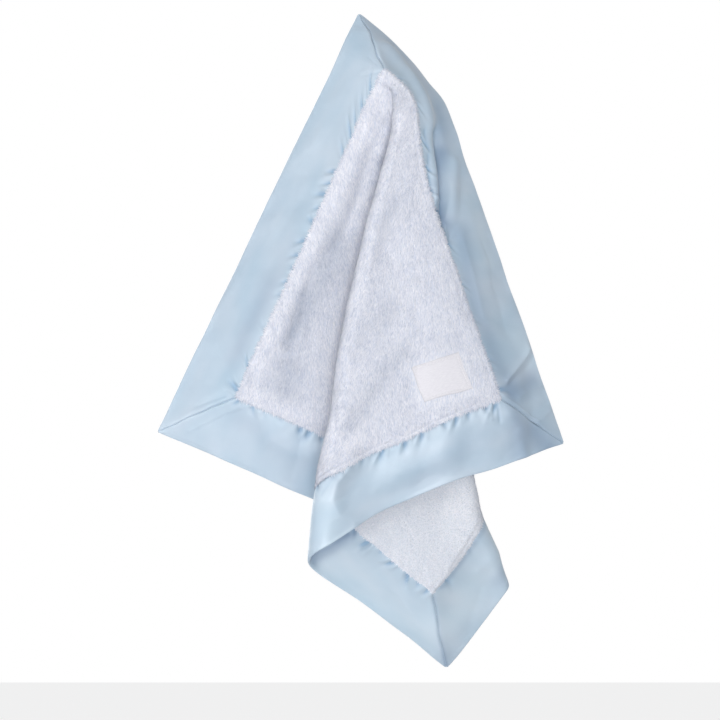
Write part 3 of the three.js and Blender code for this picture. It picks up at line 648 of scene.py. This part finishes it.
def tune(tree, made, *inputs, **values):
    """Gives a node its settings and inputs, by name with _ for a space, and inputs by order. What
    comes out of another node is linked."""
    for key, value in [*values.items(), *enumerate(inputs)]:
        entry = key if isinstance(key, int) else key.replace("_", " ")
        if isinstance(key, str) and entry not in made.inputs:
            setattr(made, key, value)
        elif isinstance(value, bpy.types.NodeSocket):
            tree.links.new(value, made.inputs[entry])
        else:
            made.inputs[entry].default_value = value
    return made


def node(tree, kind, *inputs, **values):
    return tune(tree, tree.nodes.new("ShaderNode" + kind), *inputs, **values)


def kept(tree, name):
    """What keep() gave the points of the piece."""
    return node(tree, "Attribute", attribute_name=name).outputs


def stretched_noise(tree, where, turn, squeeze, scale, detail=2.0, roughness=0.5):
    """Noise on the flat cloth, in millimetres, turned and drawn out one way."""
    turned = node(tree, "Mapping", where, Rotation=(0, 0, turn), Scale=(squeeze, 1, 1)).outputs[0]
    noise = node(tree, "TexNoise", turned, Scale=scale, Detail=detail, Roughness=roughness)
    return noise.outputs["Fac"]


def ramp(tree, value, stops):
    made = node(tree, "ValToRGB", value)
    band = made.color_ramp
    while len(band.elements) < len(stops):
        band.elements.new(0.5)
    for element, (place, colour) in zip(band.elements, stops):
        element.position, element.color = place, (*colour, 1)
    return made.outputs["Color"]


def bump(tree, height, distance, strength, **below):
    """Small relief. below holds the Normal it lies on, where it lies on another."""
    made = node(tree, "Bump", Strength=strength, Distance=distance, Height=height, **below)
    return made.outputs["Normal"]


def shaded(tree, colour, full):
    """Painted shade and light: a colour taken deeper, or past it paler, by each point's own shade.
    """
    deep, plain = [part - 1 for part in full], (1, 1, 1)
    shade = kept(tree, "shade")["Fac"]
    share = node(tree, "VectorMath", shade, deep, plain, operation="MULTIPLY_ADD").outputs[0]
    return node(tree, "VectorMath", colour, share, operation="MULTIPLY").outputs[0]


def plush_finish(name, shade, body, light, grain, curl, streak, place="nap_mm"):
    """Knitted polyester pile: pale, matt, with a soft sheen and streaks along the nap. Over
    flat_mm, which each loose fibre has one value of, every fibre gets a shade of its own."""
    material, tree, shader = nodes_of(name)
    where = kept(tree, place)["Vector"]
    streaks = stretched_noise(tree, where, 0, streak, grain, roughness=0.6)
    clumps = stretched_noise(tree, where, 0, 0.6, 0.14)
    mixed = node(tree, "Mix", data_type="FLOAT", Factor=0.2, A=streaks, B=clumps).outputs["Result"]
    colour = ramp(tree, mixed, [(0.32, shade), (0.5, body), (0.66, light)])
    if curl:
        curls = node(tree, "TexVoronoi", where, feature="SMOOTH_F1", Scale=curl)
        normal = bump(tree, curls.outputs["Distance"], 0.5 * MM, 0.5)
    else:
        normal = bump(tree, clumps, 0.5 * MM, 0.2)
    # The base colour carries the painted shade and painted light kept on each point
    tune(
        tree, shader, Base_Color=shaded(tree, colour, full=(0.69, 0.72, 0.76)),
        Normal=bump(tree, streaks, 0.8 * MM, 0.9, Normal=normal), Roughness=0.95,
        Specular_IOR_Level=0.15, Sheen_Weight=0.3, Sheen_Roughness=0.45,
        Sheen_Tint=(0.95, 0.97, 1.0, 1),
    )
    return material


def dress(piece, material, slot, *replaced):
    piece.data.materials.append(material)
    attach(piece, "root")
    if replaced:
        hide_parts(*replaced)
    return piece


brushed_plush = plush_finish(
    "brushed_plush", (0.55, 0.595, 0.71), (0.68, 0.70, 0.775), (0.80, 0.80, 0.85),
    grain=1.5, curl=0, streak=0.2,
)
front_plush = plush("front_plush", 1, tuft_height=0.38 * MM, tuft_size=2.0 * MM, seed=11)
dress(front_plush, brushed_plush, "front_plush", "front_plush_panel")
front_pile = pile("front_plush_pile", 1, count=56000, reach=3.6 * MM, spread=0.2, seed=21)
brushed_fibre = plush_finish(
    "brushed_fibre", (0.48, 0.53, 0.65), (0.685, 0.705, 0.78), (0.87, 0.87, 0.91),
    grain=2.3, curl=0, streak=1, place="flat_mm",
)
dress(front_pile, brushed_fibre, "front_plush")

# ---------------------------------------------------------------------------
# The back plush panel.
# The same square in a finer, curlier pile, which shows where the bottom corner turns its other
# face to the front. It lies behind the front panel, with a hair's gap.

curly_plush = plush_finish(
    "curly_plush", (0.595, 0.645, 0.725), (0.68, 0.71, 0.775), (0.77, 0.78, 0.83),
    grain=1.2, curl=0.65, streak=0.8,
)
back_plush = plush("back_plush", -1, tuft_height=0.36 * MM, tuft_size=1.7 * MM, seed=31)
dress(back_plush, curly_plush, "back_plush", "back_plush_panel")
back_pile = pile("back_plush_pile", -1, count=48000, reach=1.9 * MM, spread=1.3, seed=41)
curly_fibre = plush_finish(
    "curly_fibre", (0.56, 0.615, 0.705), (0.70, 0.72, 0.785), (0.83, 0.83, 0.87),
    grain=2.3, curl=0, streak=1, place="flat_mm",
)
dress(back_pile, curly_fibre, "back_plush")

# ---------------------------------------------------------------------------
# The satin border.
# Four strips of polyester satin, each folded in two over the free edge and sewn to both plush
# panels. Easing the satin along the seam leaves small puckers there; the corners are mitred.

SATIN_THICKNESS, SATIN_EDGE_RADIUS = 0.3 * MM, 0.9 * MM
# How far a strip ends short of its point, and the width over which its mitred ends grow thin
STRIP_END, MITRE_TAPER = 1.2 * MM, 20 * MM
# Height of a satin leaf off the cloth's middle, by share across it, in mm, and at its limits
LEAF_PROFILE = [[0, 1.3], [0.1, 1.7], [0.3, 1.8], [0.6, 1.45], [0.85, 1.0], [1, 0.9]]
SEAM_RISE, THIN_RISE, LEAST_RISE = 0.35 * MM, 0.9 * MM, 0.3 * MM
# How the free edge wanders, the pillows by the seam, a leaf's billows and the draw of its weave
WANDER, PILLOWS = (0.45 * MM, 26 * MM), (0.35 * MM, 11 * MM)
BILLOWS, WEAVE_DRAW = (0.6 * MM, 17 * MM), (0.07 * MM, 6 * MM)
# How far the pillows, the creases by the free edge and the puckers on a mitre take to die away, and
# the depth and reach of a pucker dip that takes the satin's painted shade
PILLOW_REACH, EDGE_FADE, MITRE_FADE = 14 * MM, 4 * MM, 3 * MM
DIP_SHADE_DEPTH, DIP_SHADE_REACH = 1.3 * MM, 13 * MM

# Puckers seen on the front of each strip: place along the seam, slant, length and depth in mm.
# The slant is how far one runs along the seam for each step out.
PUCKERS = {
    "satin_upper_left": [
        (23, -1.8, 8, 1.2), (37, -1.3, 7, 1.1), (50, -1.5, 8, 0.9), (61, -1.4, 9, 1.3),
        (74, -1.0, 8, 0.9), (87, 0.2, 8, 1.2), (96, 0.4, 7, 0.9), (106, 0.2, 9, 1.2),
        (117, 0.4, 6, 0.8), (131, -0.4, 6, 1.0), (144, 0.5, 7, 1.2), (157, 0.4, 7, 1.1),
        (168, 0, 4, 0.9), (181, 0.2, 5, 0.8), (191, 0.3, 5, 0.6), (222, -0.8, 6, 0.4),
        (254, -1.2, 7, 0.7), (274, -0.4, 9, 1.3),
    ],
    "satin_upper_right": [
        (12, 0.5, 6, 0.6), (33, 1.5, 7, 0.7), (58, 1.8, 9, 0.8), (83, 1.5, 8, 0.9),
        (104, 1.2, 7, 0.7), (121, 1.0, 8, 0.9), (150, 1.0, 6, 0.5), (183, 0.8, 6, 0.5),
        (214, 0.5, 5, 0.5), (246, 0.5, 6, 0.6), (271, 0.2, 8, 0.9),
    ],
    "satin_lower_left": [
        (4, -0.6, 8, 0.8), (13, 0.5, 8, 0.6), (24, 0.2, 5, 0.5), (38, 0.2, 4, 0.4),
        (55, 0.1, 6, 0.8), (64, -0.2, 7, 1.1), (73, 0.2, 6, 0.9), (92, 0.3, 6, 0.6),
        (118, -0.2, 6, 0.7), (145, 0.3, 6, 0.6), (176, 0, 6, 0.7), (203, -0.3, 5, 0.5),
        (232, 0.2, 6, 0.7), (262, 0.4, 6, 0.8),
    ],
    "satin_lower_right": [
        (5, 0.5, 10, 1.3), (14, -0.3, 8, 0.9), (27, 0.2, 6, 0.8), (37, 0.5, 8, 1.0),
        (49, -0.2, 6, 0.7), (66, 0.4, 8, 1.1), (80, 0.3, 8, 1.2), (98, 0.6, 9, 1.0),
        (114, 0.4, 6, 0.6), (131, -0.3, 6, 0.5), (152, 0, 6, 0.6), (180, 0.3, 7, 0.9),
        (204, -0.3, 7, 0.8), (226, 0.4, 7, 0.8), (251, 0.2, 7, 0.9),
    ],
}
# Those on the other face that the turned bottom corner shows
BACK_PUCKERS = {
    "satin_lower_right": [
        (180, 0.2, 6, 0.8), (203, 0.1, 7, 0.9), (217, -0.25, 13, 1.6), (228, 0, 5, 0.8),
        (241, -0.4, 9, 1.4), (254, 0.5, 11, 1.6), (264, 0.4, 6, 0.9), (274, 0, 8, 1.0),
    ],
    "satin_lower_left": [
        (186, 0.4, 6, 0.6), (208, 0.2, 6, 0.5), (240, 0.3, 5, 0.4), (266, 0.3, 8, 0.6),
    ],
}
# Keen creases in a leaf: half width and rise, then places as run along the strip and distance out
CREASES = {
    "satin_upper_left": [
        (1.2, 0.2, 0.5, 1.5, 7, 19), (1.2, -0.35, 2.5, 1.5, 10, 16), (1.8, -0.3, -2, 8, -6, 20),
        (2.2, -0.4, 281, 9, 297, 27), (8, -0.9, 262, 20, 240, 46), (9, 0.8, 228, 14, 205, 46),
        (9, 0.7, 60, 30, 90, 44), (8, -0.7, 120, 22, 160, 30),
    ],
    "satin_upper_right": [
        (1.8, -0.9, 60, 8, 76, 9, 92, 4, 112, 1), (2.4, 1.2, 66, 16, 86, 12, 102, 7, 116, 2),
        (2.4, -1.8, 78, 22, 98, 19, 116, 11, 136, 5, 150, 3), (2.6, 1.2, 111, 26, 129, 14, 146, 3),
        (5, 0.9, 150, 18, 214, 12), (6, -0.9, 160, 40, 232, 30),
        (2.6, 2.4, 267, 13, 256, 36, 247, 51), (4.5, -2.4, 273, 14, 268, 36, 262, 51),
        (2.4, 0.8, 281, 20, 279, 46), (3, -0.9, 287, 22, 287, 47), (2.4, 0.8, 305, 32, 299, 50),
        (2.6, -0.7, 297, 27, 292, 49), (0.7, 0.4, 277, 4, 305, 32),
    ],
    "satin_lower_left": [
        (1.8, 0.3, 12, 1.5, -3, 15, -25, 40), (2.4, -0.3, 16, 2, 0, 15, -19, 36),
        (9, 0.9, 40, 20, 90, 24), (6, -0.9, 58, 4, 66, 44),
    ],
    "satin_lower_right": [
        (2.2, 0.9, 126, 2, 138, 7, 146, 19, 146, 33, 140, 46), (1.5, -1.0, 3, 1, 6, 16),
        (1.8, 1.0, 8, 1, 12, 13), (6, -0.9, -8, 38, 8, 48), (1.5, -0.6, 138, 3, 150, 12),
        (10, 0.4, 30, 30, 96, 26), (7, -0.6, 60, 44, 110, 40),
    ],
}
BACK_CREASES = {
    "satin_lower_right": [
        (10, 1.8, 200, 26, 262, 22, 290, 34), (7, -0.9, 190, 44, 250, 45),
        (2.5, 0.7, 222, 4, 214, 17),
    ],
    "satin_lower_left": [
        (9, 1.5, 250, 18, 214, 34), (7, -0.9, 262, 34, 300, 44), (4, -0.8, 183, 6, 190, 30),
    ],
}


def puckering(run, out, rows):
    """Small gathers that run out into the satin from the seam: a keen dip with a bright lip."""
    rise = 0.0
    for place, slant, long, deep in rows:
        off = (run / MM - place - slant * out / MM) / (1.5 + 0.10 * out / MM)
        fade = ease((out / MM + 0.3) / 1.5) * bell(out / MM / long)
        dip = np.exp(0.3 - np.hypot(off, 0.3)) - 0.65 * bell(off - 1.9) - 0.35 * bell(off + 2.1)
        rise = rise - 1.8 * deep * MM * fade * dip
    return rise


def strip(name, turn, seed):
    """One border strip. turn carries its own run and distance out to the flat cloth."""
    steps, across, round_steps, back_across, every = 420, 52, 6, 36, 2
    run = np.linspace(-BORDER + STRIP_END, PANEL + BORDER - STRIP_END, steps + 1)[:, None]
    past = np.maximum(np.maximum(-run, run - PANEL), 0)
    start = past + (0.12 + 0.05 * (past > 0)) * MM
    border = BORDER + uneven(WANDER, seed + 2, run, 0 * run) * ease((BORDER - past) / MITRE_TAPER)
    edge = border - SATIN_EDGE_RADIUS
    front = np.linspace(0, 1, across + 1)[None, :] ** 1.5
    nose = np.linspace(0, 180, round_steps + 1)[None, 1:-1] * DEGREE
    rear = np.linspace(1, 0, back_across + 1)[None, :] ** 1.3
    last = np.maximum(edge, start + 0.3 * MM)
    out = np.concatenate([
        start + (last - start) * front,
        last + (border - last) * np.sin(nose),
        start + (last - start) * rear,
    ], 1)
    runs = np.broadcast_to(run, out.shape)
    face = np.concatenate([0 * front + 1, np.cos(nose), 0 * rear - 1], 1)
    on_mitre = past > 0
    into = np.where(on_mitre, (out - start) / 2**0.5, out - start)
    full = along(LEAF_PROFILE, out / BORDER) * MM
    thin = ease(np.maximum(BORDER - start, 0) / MITRE_TAPER)
    full = THIN_RISE + (full - THIN_RISE) * thin
    climb = 1 - np.exp(-into / (np.where(on_mitre, 0.7, 1.1) * MM))
    height = SEAM_RISE + (full - SEAM_RISE) * climb
    pillow = uneven(PILLOWS, seed + 8, runs + 0.3 * out, out / 2.5) * np.exp(-out / PILLOW_REACH)
    near_edge, ease_off = ease((border - out) / EDGE_FADE), np.exp(-past / MITRE_FADE)
    on_front, on_back = (
        puckering(runs, out, puckers) * ease_off + pressed(runs, out, creases, True) * near_edge
        for puckers, creases in (
            (PUCKERS[name], CREASES[name]),
            (BACK_PUCKERS.get(name, PUCKERS[name]), BACK_CREASES.get(name, [])),
        )
    )
    height = height + np.where(face > 0, on_front, on_back * (face < 0)) + pillow
    drawn = uneven(WEAVE_DRAW, seed + 9, runs, out)
    billow = uneven(BILLOWS, seed + 10, runs - 0.4 * out, out / 1.6) * thin
    height = np.maximum(height + drawn + billow * near_edge, LEAST_RISE)
    flat = np.stack(turn(runs, out), -1)
    outer = raised(flat[..., 0], flat[..., 1], height * face)
    step = slice(None, None, every)
    inner_height = np.maximum(height - SATIN_THICKNESS, 0.05 * MM)[step, step] * face[:, step]
    inner = raised(flat[step, step, 0], flat[step, step, 1], inner_height)
    piece = shell(name, outer, inner, flat, every, face)
    # Painted shade for the finish: the colour is darkened by how deep each pucker dip is, near the
    # seam
    dip = -np.where(face > 0, on_front, on_back)
    painted_dip_shade = ease(dip / DIP_SHADE_DEPTH) * bell(out / DIP_SHADE_REACH)
    keep(piece.data, "painted_dip_shade", np.r_[painted_dip_shade.ravel(), painted_dip_shade[step, step].ravel()])
    return piece


def satin_finish(name):
    """Polyester satin: a close warp-faced weave with a broad soft gloss along its threads."""
    material, tree, shader = nodes_of(name)
    where = kept(tree, "flat_mm")["Vector"]
    cloud = stretched_noise(tree, where, 0, 0.5, 0.035)
    threads = stretched_noise(tree, where, 45 * DEGREE, 0.12, 2.6)
    ripples = stretched_noise(tree, where, 30 * DEGREE, 0.5, 0.16)
    colour = ramp(tree, cloud, [(0.3, (0.378, 0.50, 0.612)), (0.7, (0.468, 0.56, 0.658))])
    # Painted shade in the puckers' dips: the colour multiplied towards a deeper blue there
    dip_shaded = node(
        tree, "Mix", data_type="RGBA", blend_type="MULTIPLY", Factor=kept(tree, "painted_dip_shade")["Fac"],
        A=colour, B=(0.50, 0.66, 0.80, 1),
    )
    rippled = bump(tree, ripples, 0.5 * MM, 0.3)
    # The base colour carries the painted shade and painted light kept on each point
    tune(
        tree, shader, Base_Color=shaded(tree, dip_shaded.outputs["Result"], full=(0.69, 0.73, 0.79)),
        Normal=bump(tree, threads, 0.05 * MM, 0.35, Normal=rippled), Roughness=0.5, IOR=1.6,
        Specular_IOR_Level=0.8, Anisotropic=0.4, Sheen_Weight=0.3, Sheen_Roughness=0.35,
    )
    return material


satin = satin_finish("satin")
STRIPS = [
    ("satin_upper_left", "border_upper_left", lambda run, out: (run, -out), 51),
    ("satin_upper_right", "border_upper_right", lambda run, out: (-out, run), 61),
    ("satin_lower_left", "border_lower_left", lambda run, out: (PANEL + out, run), 71),
    ("satin_lower_right", "border_lower_right", lambda run, out: (run, PANEL + out), 81),
]
for name, replaced, turn, seed in STRIPS:
    piece = dress(strip(name, turn, seed), satin, "satin", replaced)

# ---------------------------------------------------------------------------
# The seam and mitre stitching.
# Spun polyester thread in short lock stitches: along each strip's seam on both faces, and along
# each mitre, out on the front and back along the other face.


# A stitch's sides round it, and along it the share of its length, of its radius and of its dip
STITCH_SIDES = 6
STITCH_SHARES = np.array([0, 0.12, 0.35, 0.65, 0.88, 1])
STITCH_SWELL = np.array([0.35, 0.85, 1, 1, 0.85, 0.35])
STITCH_DIP = np.array([-0.9, -0.25, 0, 0, -0.25, -0.9])


def stitches(name, u, v, height, pitch, gap, radius):
    """Short rounded stitches along a flat path, each dipping into the cloth at its ends."""
    strides = np.hypot(np.diff(u), np.diff(v)) + np.abs(np.diff(height))
    length = np.concatenate([[0], np.cumsum(strides)])
    count = int(length[-1] / pitch)
    spots = np.arange(count)[:, None] + gap / 2 / pitch + STITCH_SHARES * (1 - gap / pitch)
    spots = spots * length[-1] / count
    su, sv, sh = (np.interp(spots, length, values) for values in (u, v, height))
    sign = np.where(sh < 0, -1.0, 1.0)
    middle = raised(su, sv, sh + sign * STITCH_DIP * radius)
    ahead = unit(np.gradient(middle, axis=1))
    aside = unit(np.cross(ahead, front_at(su, sv) * sign[..., None]))
    up = np.cross(aside, ahead)
    rounds = 2 * math.pi * np.arange(STITCH_SIDES) / STITCH_SIDES
    across, upward = np.cos(rounds)[:, None], np.sin(rounds)[:, None]
    ring = across * aside[..., None, :] + upward * up[..., None, :]
    places = middle[..., None, :] + ring * (radius * STITCH_SWELL)[:, None, None]
    ids = np.arange(places[..., 0].size).reshape(places.shape[:3])
    after = np.roll(ids, -1, 2)
    walls = np.stack([ids[:, :-1], after[:, :-1], after[:, 1:], ids[:, 1:]], -1).reshape(-1, 4)
    faces = walls.tolist() + ids[:, 0, ::-1].tolist() + ids[:, -1].tolist()
    return placed(name, meshed(name, places, faces))


def thread_finish(name, colour, shade):
    """Spun thread, with the slant of its twist."""
    material, tree, shader = nodes_of(name)
    where = node(tree, "TexCoord").outputs["Object"]
    twist = node(tree, "TexWave", where, Scale=1400.0, Distortion=1.5).outputs["Fac"]
    tune(
        tree, shader, Base_Color=ramp(tree, twist, [(0.1, shade), (0.9, colour)]),
        Normal=bump(tree, twist, 0.06 * MM, 0.5), Roughness=0.6, Sheen_Weight=0.2,
    )
    return material


blue_thread = thread_finish("blue_thread", (0.55, 0.67, 0.80), (0.40, 0.53, 0.68))
seam_run = np.linspace(1.5 * MM, PANEL - 1.5 * MM, 280)
SEAM_HEIGHT, MITRE_HEIGHT = 1.0 * MM, 0.75 * MM
for name, _, turn, _ in STRIPS:
    edge = name.removeprefix("satin_")
    for face, sign in (("front", 1), ("back", -1)):
        u, v = turn(seam_run, 0 * seam_run)
        piece = stitches(
            f"{face}_seam_stitches_{edge}", u, v, sign * SEAM_HEIGHT + 0 * u,
            pitch=2.8 * MM, gap=0.5 * MM, radius=0.22 * MM,
        )
        dress(piece, blue_thread, "thread", f"{face}_seam_thread_{edge}")

# Where each mitre starts on the plush's corner, and which way it runs out
MITRES = {
    "top": (0, 0, -1, -1), "left": (PANEL, 0, 1, -1), "right": (0, PANEL, -1, 1),
    "bottom": (PANEL, PANEL, 1, 1),
}
mitre_run = np.linspace(0.03, 0.985, 90)
out = np.concatenate([mitre_run, mitre_run[::-1]]) * BORDER
height = np.repeat([MITRE_HEIGHT, -MITRE_HEIGHT], 90)
for corner, (from_u, from_v, out_u, out_v) in MITRES.items():
    piece = stitches(
        f"mitre_stitches_{corner}", from_u + out_u * out, from_v + out_v * out, height,
        pitch=2.6 * MM, gap=0.4 * MM, radius=0.18 * MM,
    )
    dress(piece, blue_thread, "thread", f"mitre_thread_{corner}")

# ---------------------------------------------------------------------------
# The label.
# A bare rectangle of white woven satin tape, its ends folded under, sewn to the front plush
# beside the right seam with white stitches just inside its edge.


def on_label(run, rise):
    u = LABEL_MIDDLE[0] + run * math.cos(LABEL_LONG_TURN) - rise * math.sin(LABEL_SHORT_TURN)
    v = LABEL_MIDDLE[1] + run * math.sin(LABEL_LONG_TURN) + rise * math.cos(LABEL_SHORT_TURN)
    return u, v


LABEL_BOTTOM = PLY_GAP / 2 + PLUSH_HEIGHT + 0.3 * MM
run, rise = np.meshgrid(
    np.linspace(-0.5, 0.5, 49) * LABEL_LENGTH, np.linspace(-0.5, 0.5, 37) * LABEL_WIDTH,
    indexing="ij",
)
label_u, label_v = on_label(run, rise)
to_edge = np.minimum(LABEL_LENGTH / 2 - np.abs(run), LABEL_WIDTH / 2 - np.abs(rise))
# The tape sinks a little under its stitches, and again at its very edge, and is a little uneven
LABEL_SEAM_INSET, LABEL_SINK_WIDTH, LABEL_SWELLS = 2 * MM, 0.8 * MM, (0.12 * MM, 9 * MM)
label_height = LABEL_BOTTOM + LABEL_THICKNESS
label_height = label_height - 0.18 * MM * bell((to_edge - LABEL_SEAM_INSET) / LABEL_SINK_WIDTH)
label_height = label_height - 0.2 * MM * (1 - ease(to_edge / LABEL_SINK_WIDTH))
label_height = label_height + uneven(LABEL_SWELLS, 91, label_u, label_v)
outer = raised(label_u, label_v, label_height)
inner = raised(label_u[::2, ::2], label_v[::2, ::2], LABEL_BOTTOM - 0.05 * MM)
label = shell("woven_label", outer, inner, np.stack([label_u, label_v], -1), 2)


def label_finish(name):
    """White woven tape with a fine cross weave."""
    material, tree, shader = nodes_of(name)
    where = kept(tree, "flat_mm")["Vector"]
    weft = stretched_noise(tree, where, -LABEL_LONG_TURN, 0.1, 3.2, detail=1.0)
    warp = stretched_noise(tree, where, 90 * DEGREE - LABEL_LONG_TURN, 0.1, 3.2, detail=1.0)
    weave = node(tree, "Math", weft, warp, operation="ADD").outputs[0]
    colour = ramp(tree, weft, [(0.3, (0.625, 0.615, 0.66)), (0.7, (0.71, 0.70, 0.74))])
    tune(
        tree, shader, Base_Color=colour, Normal=bump(tree, weave, 0.06 * MM, 0.4), Roughness=0.6,
        Sheen_Weight=0.15,
    )
    return material


dress(label, label_finish("label_tape"), "label", "label")
ring_run, ring_rise = LABEL_LENGTH / 2 - LABEL_SEAM_INSET, LABEL_WIDTH / 2 - LABEL_SEAM_INSET
corners = np.array([(-1, -1), (1, -1), (1, 1), (-1, 1), (-1, -1)], float)
sides = [np.linspace(a, b, 40, endpoint=False) for a, b in zip(corners, corners[1:])]
ring = np.concatenate(sides)
ring_u, ring_v = on_label(ring[:, 0] * ring_run, ring[:, 1] * ring_rise)
label_stitches = stitches(
    "label_stitches", ring_u, ring_v, LABEL_BOTTOM + LABEL_THICKNESS + 0.02 * MM + 0 * ring_u,
    pitch=2.4 * MM, gap=0.5 * MM, radius=0.16 * MM,
)
white_thread = thread_finish("white_thread", (0.86, 0.85, 0.87), (0.70, 0.70, 0.74))
dress(label_stitches, white_thread, "label_thread", "label_stitching")

# ---------------------------------------------------------------------------
# The studio: a pale floor well below the hanging cloth, white all round, soft lamps.

# The view's size, the blanket's side and the plush's top corner, in pixels of the view
VIEW_PIXELS, SIDE_PIXELS, TOP_ACROSS, TOP_DOWN = 720, 486, 384.5, 72.7
PIXEL, MIDDLE = SIDE / SIDE_PIXELS, VIEW_PIXELS / 2
VIEW_MIDDLE = np.array([(MIDDLE - TOP_ACROSS) * PIXEL, 0, (TOP_DOWN - MIDDLE) * PIXEL]) - HELD
FLOOR_DROP, FLOOR_HALF = 0.60, 14


def seen_white(tree, seen, share):
    """How far a place looks plain white to the rays in seen."""
    rays = node(tree, "LightPath").outputs
    white = rays[seen[0]]
    for kind in seen[1:]:
        white = node(tree, "Math", white, rays[kind], operation="MAXIMUM").outputs[0]
    return node(tree, "Math", white, share, operation="MULTIPLY").outputs[0]


floor_z = cad_box[0][2] - FLOOR_DROP
floor_material, floor_tree, floor_shader = nodes_of("floor_paper")
tune(floor_tree, floor_shader, Base_Color=(0.86, 0.86, 0.87, 1), Roughness=0.9)
floor_white = node(floor_tree, "Emission")
floor_mix = node(
    floor_tree, "MixShader", seen_white(floor_tree, ["Is Camera Ray"], 0.8),
    floor_shader.outputs[0], floor_white.outputs[0],
)
tune(floor_tree, floor_tree.nodes["Material Output"], Surface=floor_mix.outputs[0])
quarters = ((-1, -1), (1, -1), (1, 1), (-1, 1))
floor_corners = np.array([(x * FLOOR_HALF, y * FLOOR_HALF, floor_z) for x, y in quarters])
floor_mesh = meshed("floor", floor_corners, [[0, 1, 2, 3]])
floor_mesh.materials.append(floor_material)
floor = placed("floor", floor_mesh)

AIR_LIGHT = 0.36
world = bpy.data.worlds.new("studio_air")
bpy.context.scene.world = world
world.use_nodes = True
air = world.node_tree
air_light = tune(air, air.nodes["Background"], Color=(0.95, 0.97, 1.0, 1), Strength=AIR_LIGHT)
air_white = node(air, "Background", Color=(1, 1, 1, 1))
air_seen = seen_white(air, ["Is Camera Ray", "Is Glossy Ray", "Is Transmission Ray"], 1)
air_mix = node(air, "MixShader", air_seen, air_light.outputs[0], air_white.outputs[0])
tune(air, air.nodes["World Output"], Surface=air_mix.outputs[0])

AIM = (0, 0, -0.22)


def lamp(name, place, size, power, colour=(1, 1, 1)):
    """A round soft lamp that looks at the middle of the hang."""
    light = bpy.data.lights.new(name, "AREA")
    light.shape, light.size, light.energy, light.color = "DISK", size, power, colour
    made = placed(name, light)
    made.location = place
    made.rotation_mode = "QUATERNION"
    made.rotation_quaternion = (Vector(AIM) - Vector(place)).to_track_quat("-Z", "Y")


lamp("left", (-2.1, -1.4, 0.4), size=1.6, power=20, colour=(1.0, 0.99, 0.97))
lamp("front", (-0.1, -2.5, -0.6), size=0.8, power=29)
lamp("top", (0.3, -1.05, 1.8), size=1.2, power=10)
lamp("behind", (-1.5, 2.4, 0.3), size=1.6, power=30)

camera = bpy.data.cameras.new("camera")
camera_piece = placed("camera", camera)
CAMERA_DISTANCE, FILM_WIDTH = 6.0, 36
camera.sensor_width = FILM_WIDTH
camera.lens = FILM_WIDTH * CAMERA_DISTANCE / (VIEW_PIXELS * PIXEL)
camera.clip_start, camera.clip_end = 0.1, 30
camera_piece.location = (VIEW_MIDDLE[0], -CAMERA_DISTANCE, VIEW_MIDDLE[2])
camera_piece.rotation_euler = (math.pi / 2, 0, 0)
bpy.context.scene.camera = camera_piece
bpy.context.scene.view_settings.view_transform = "Standard"
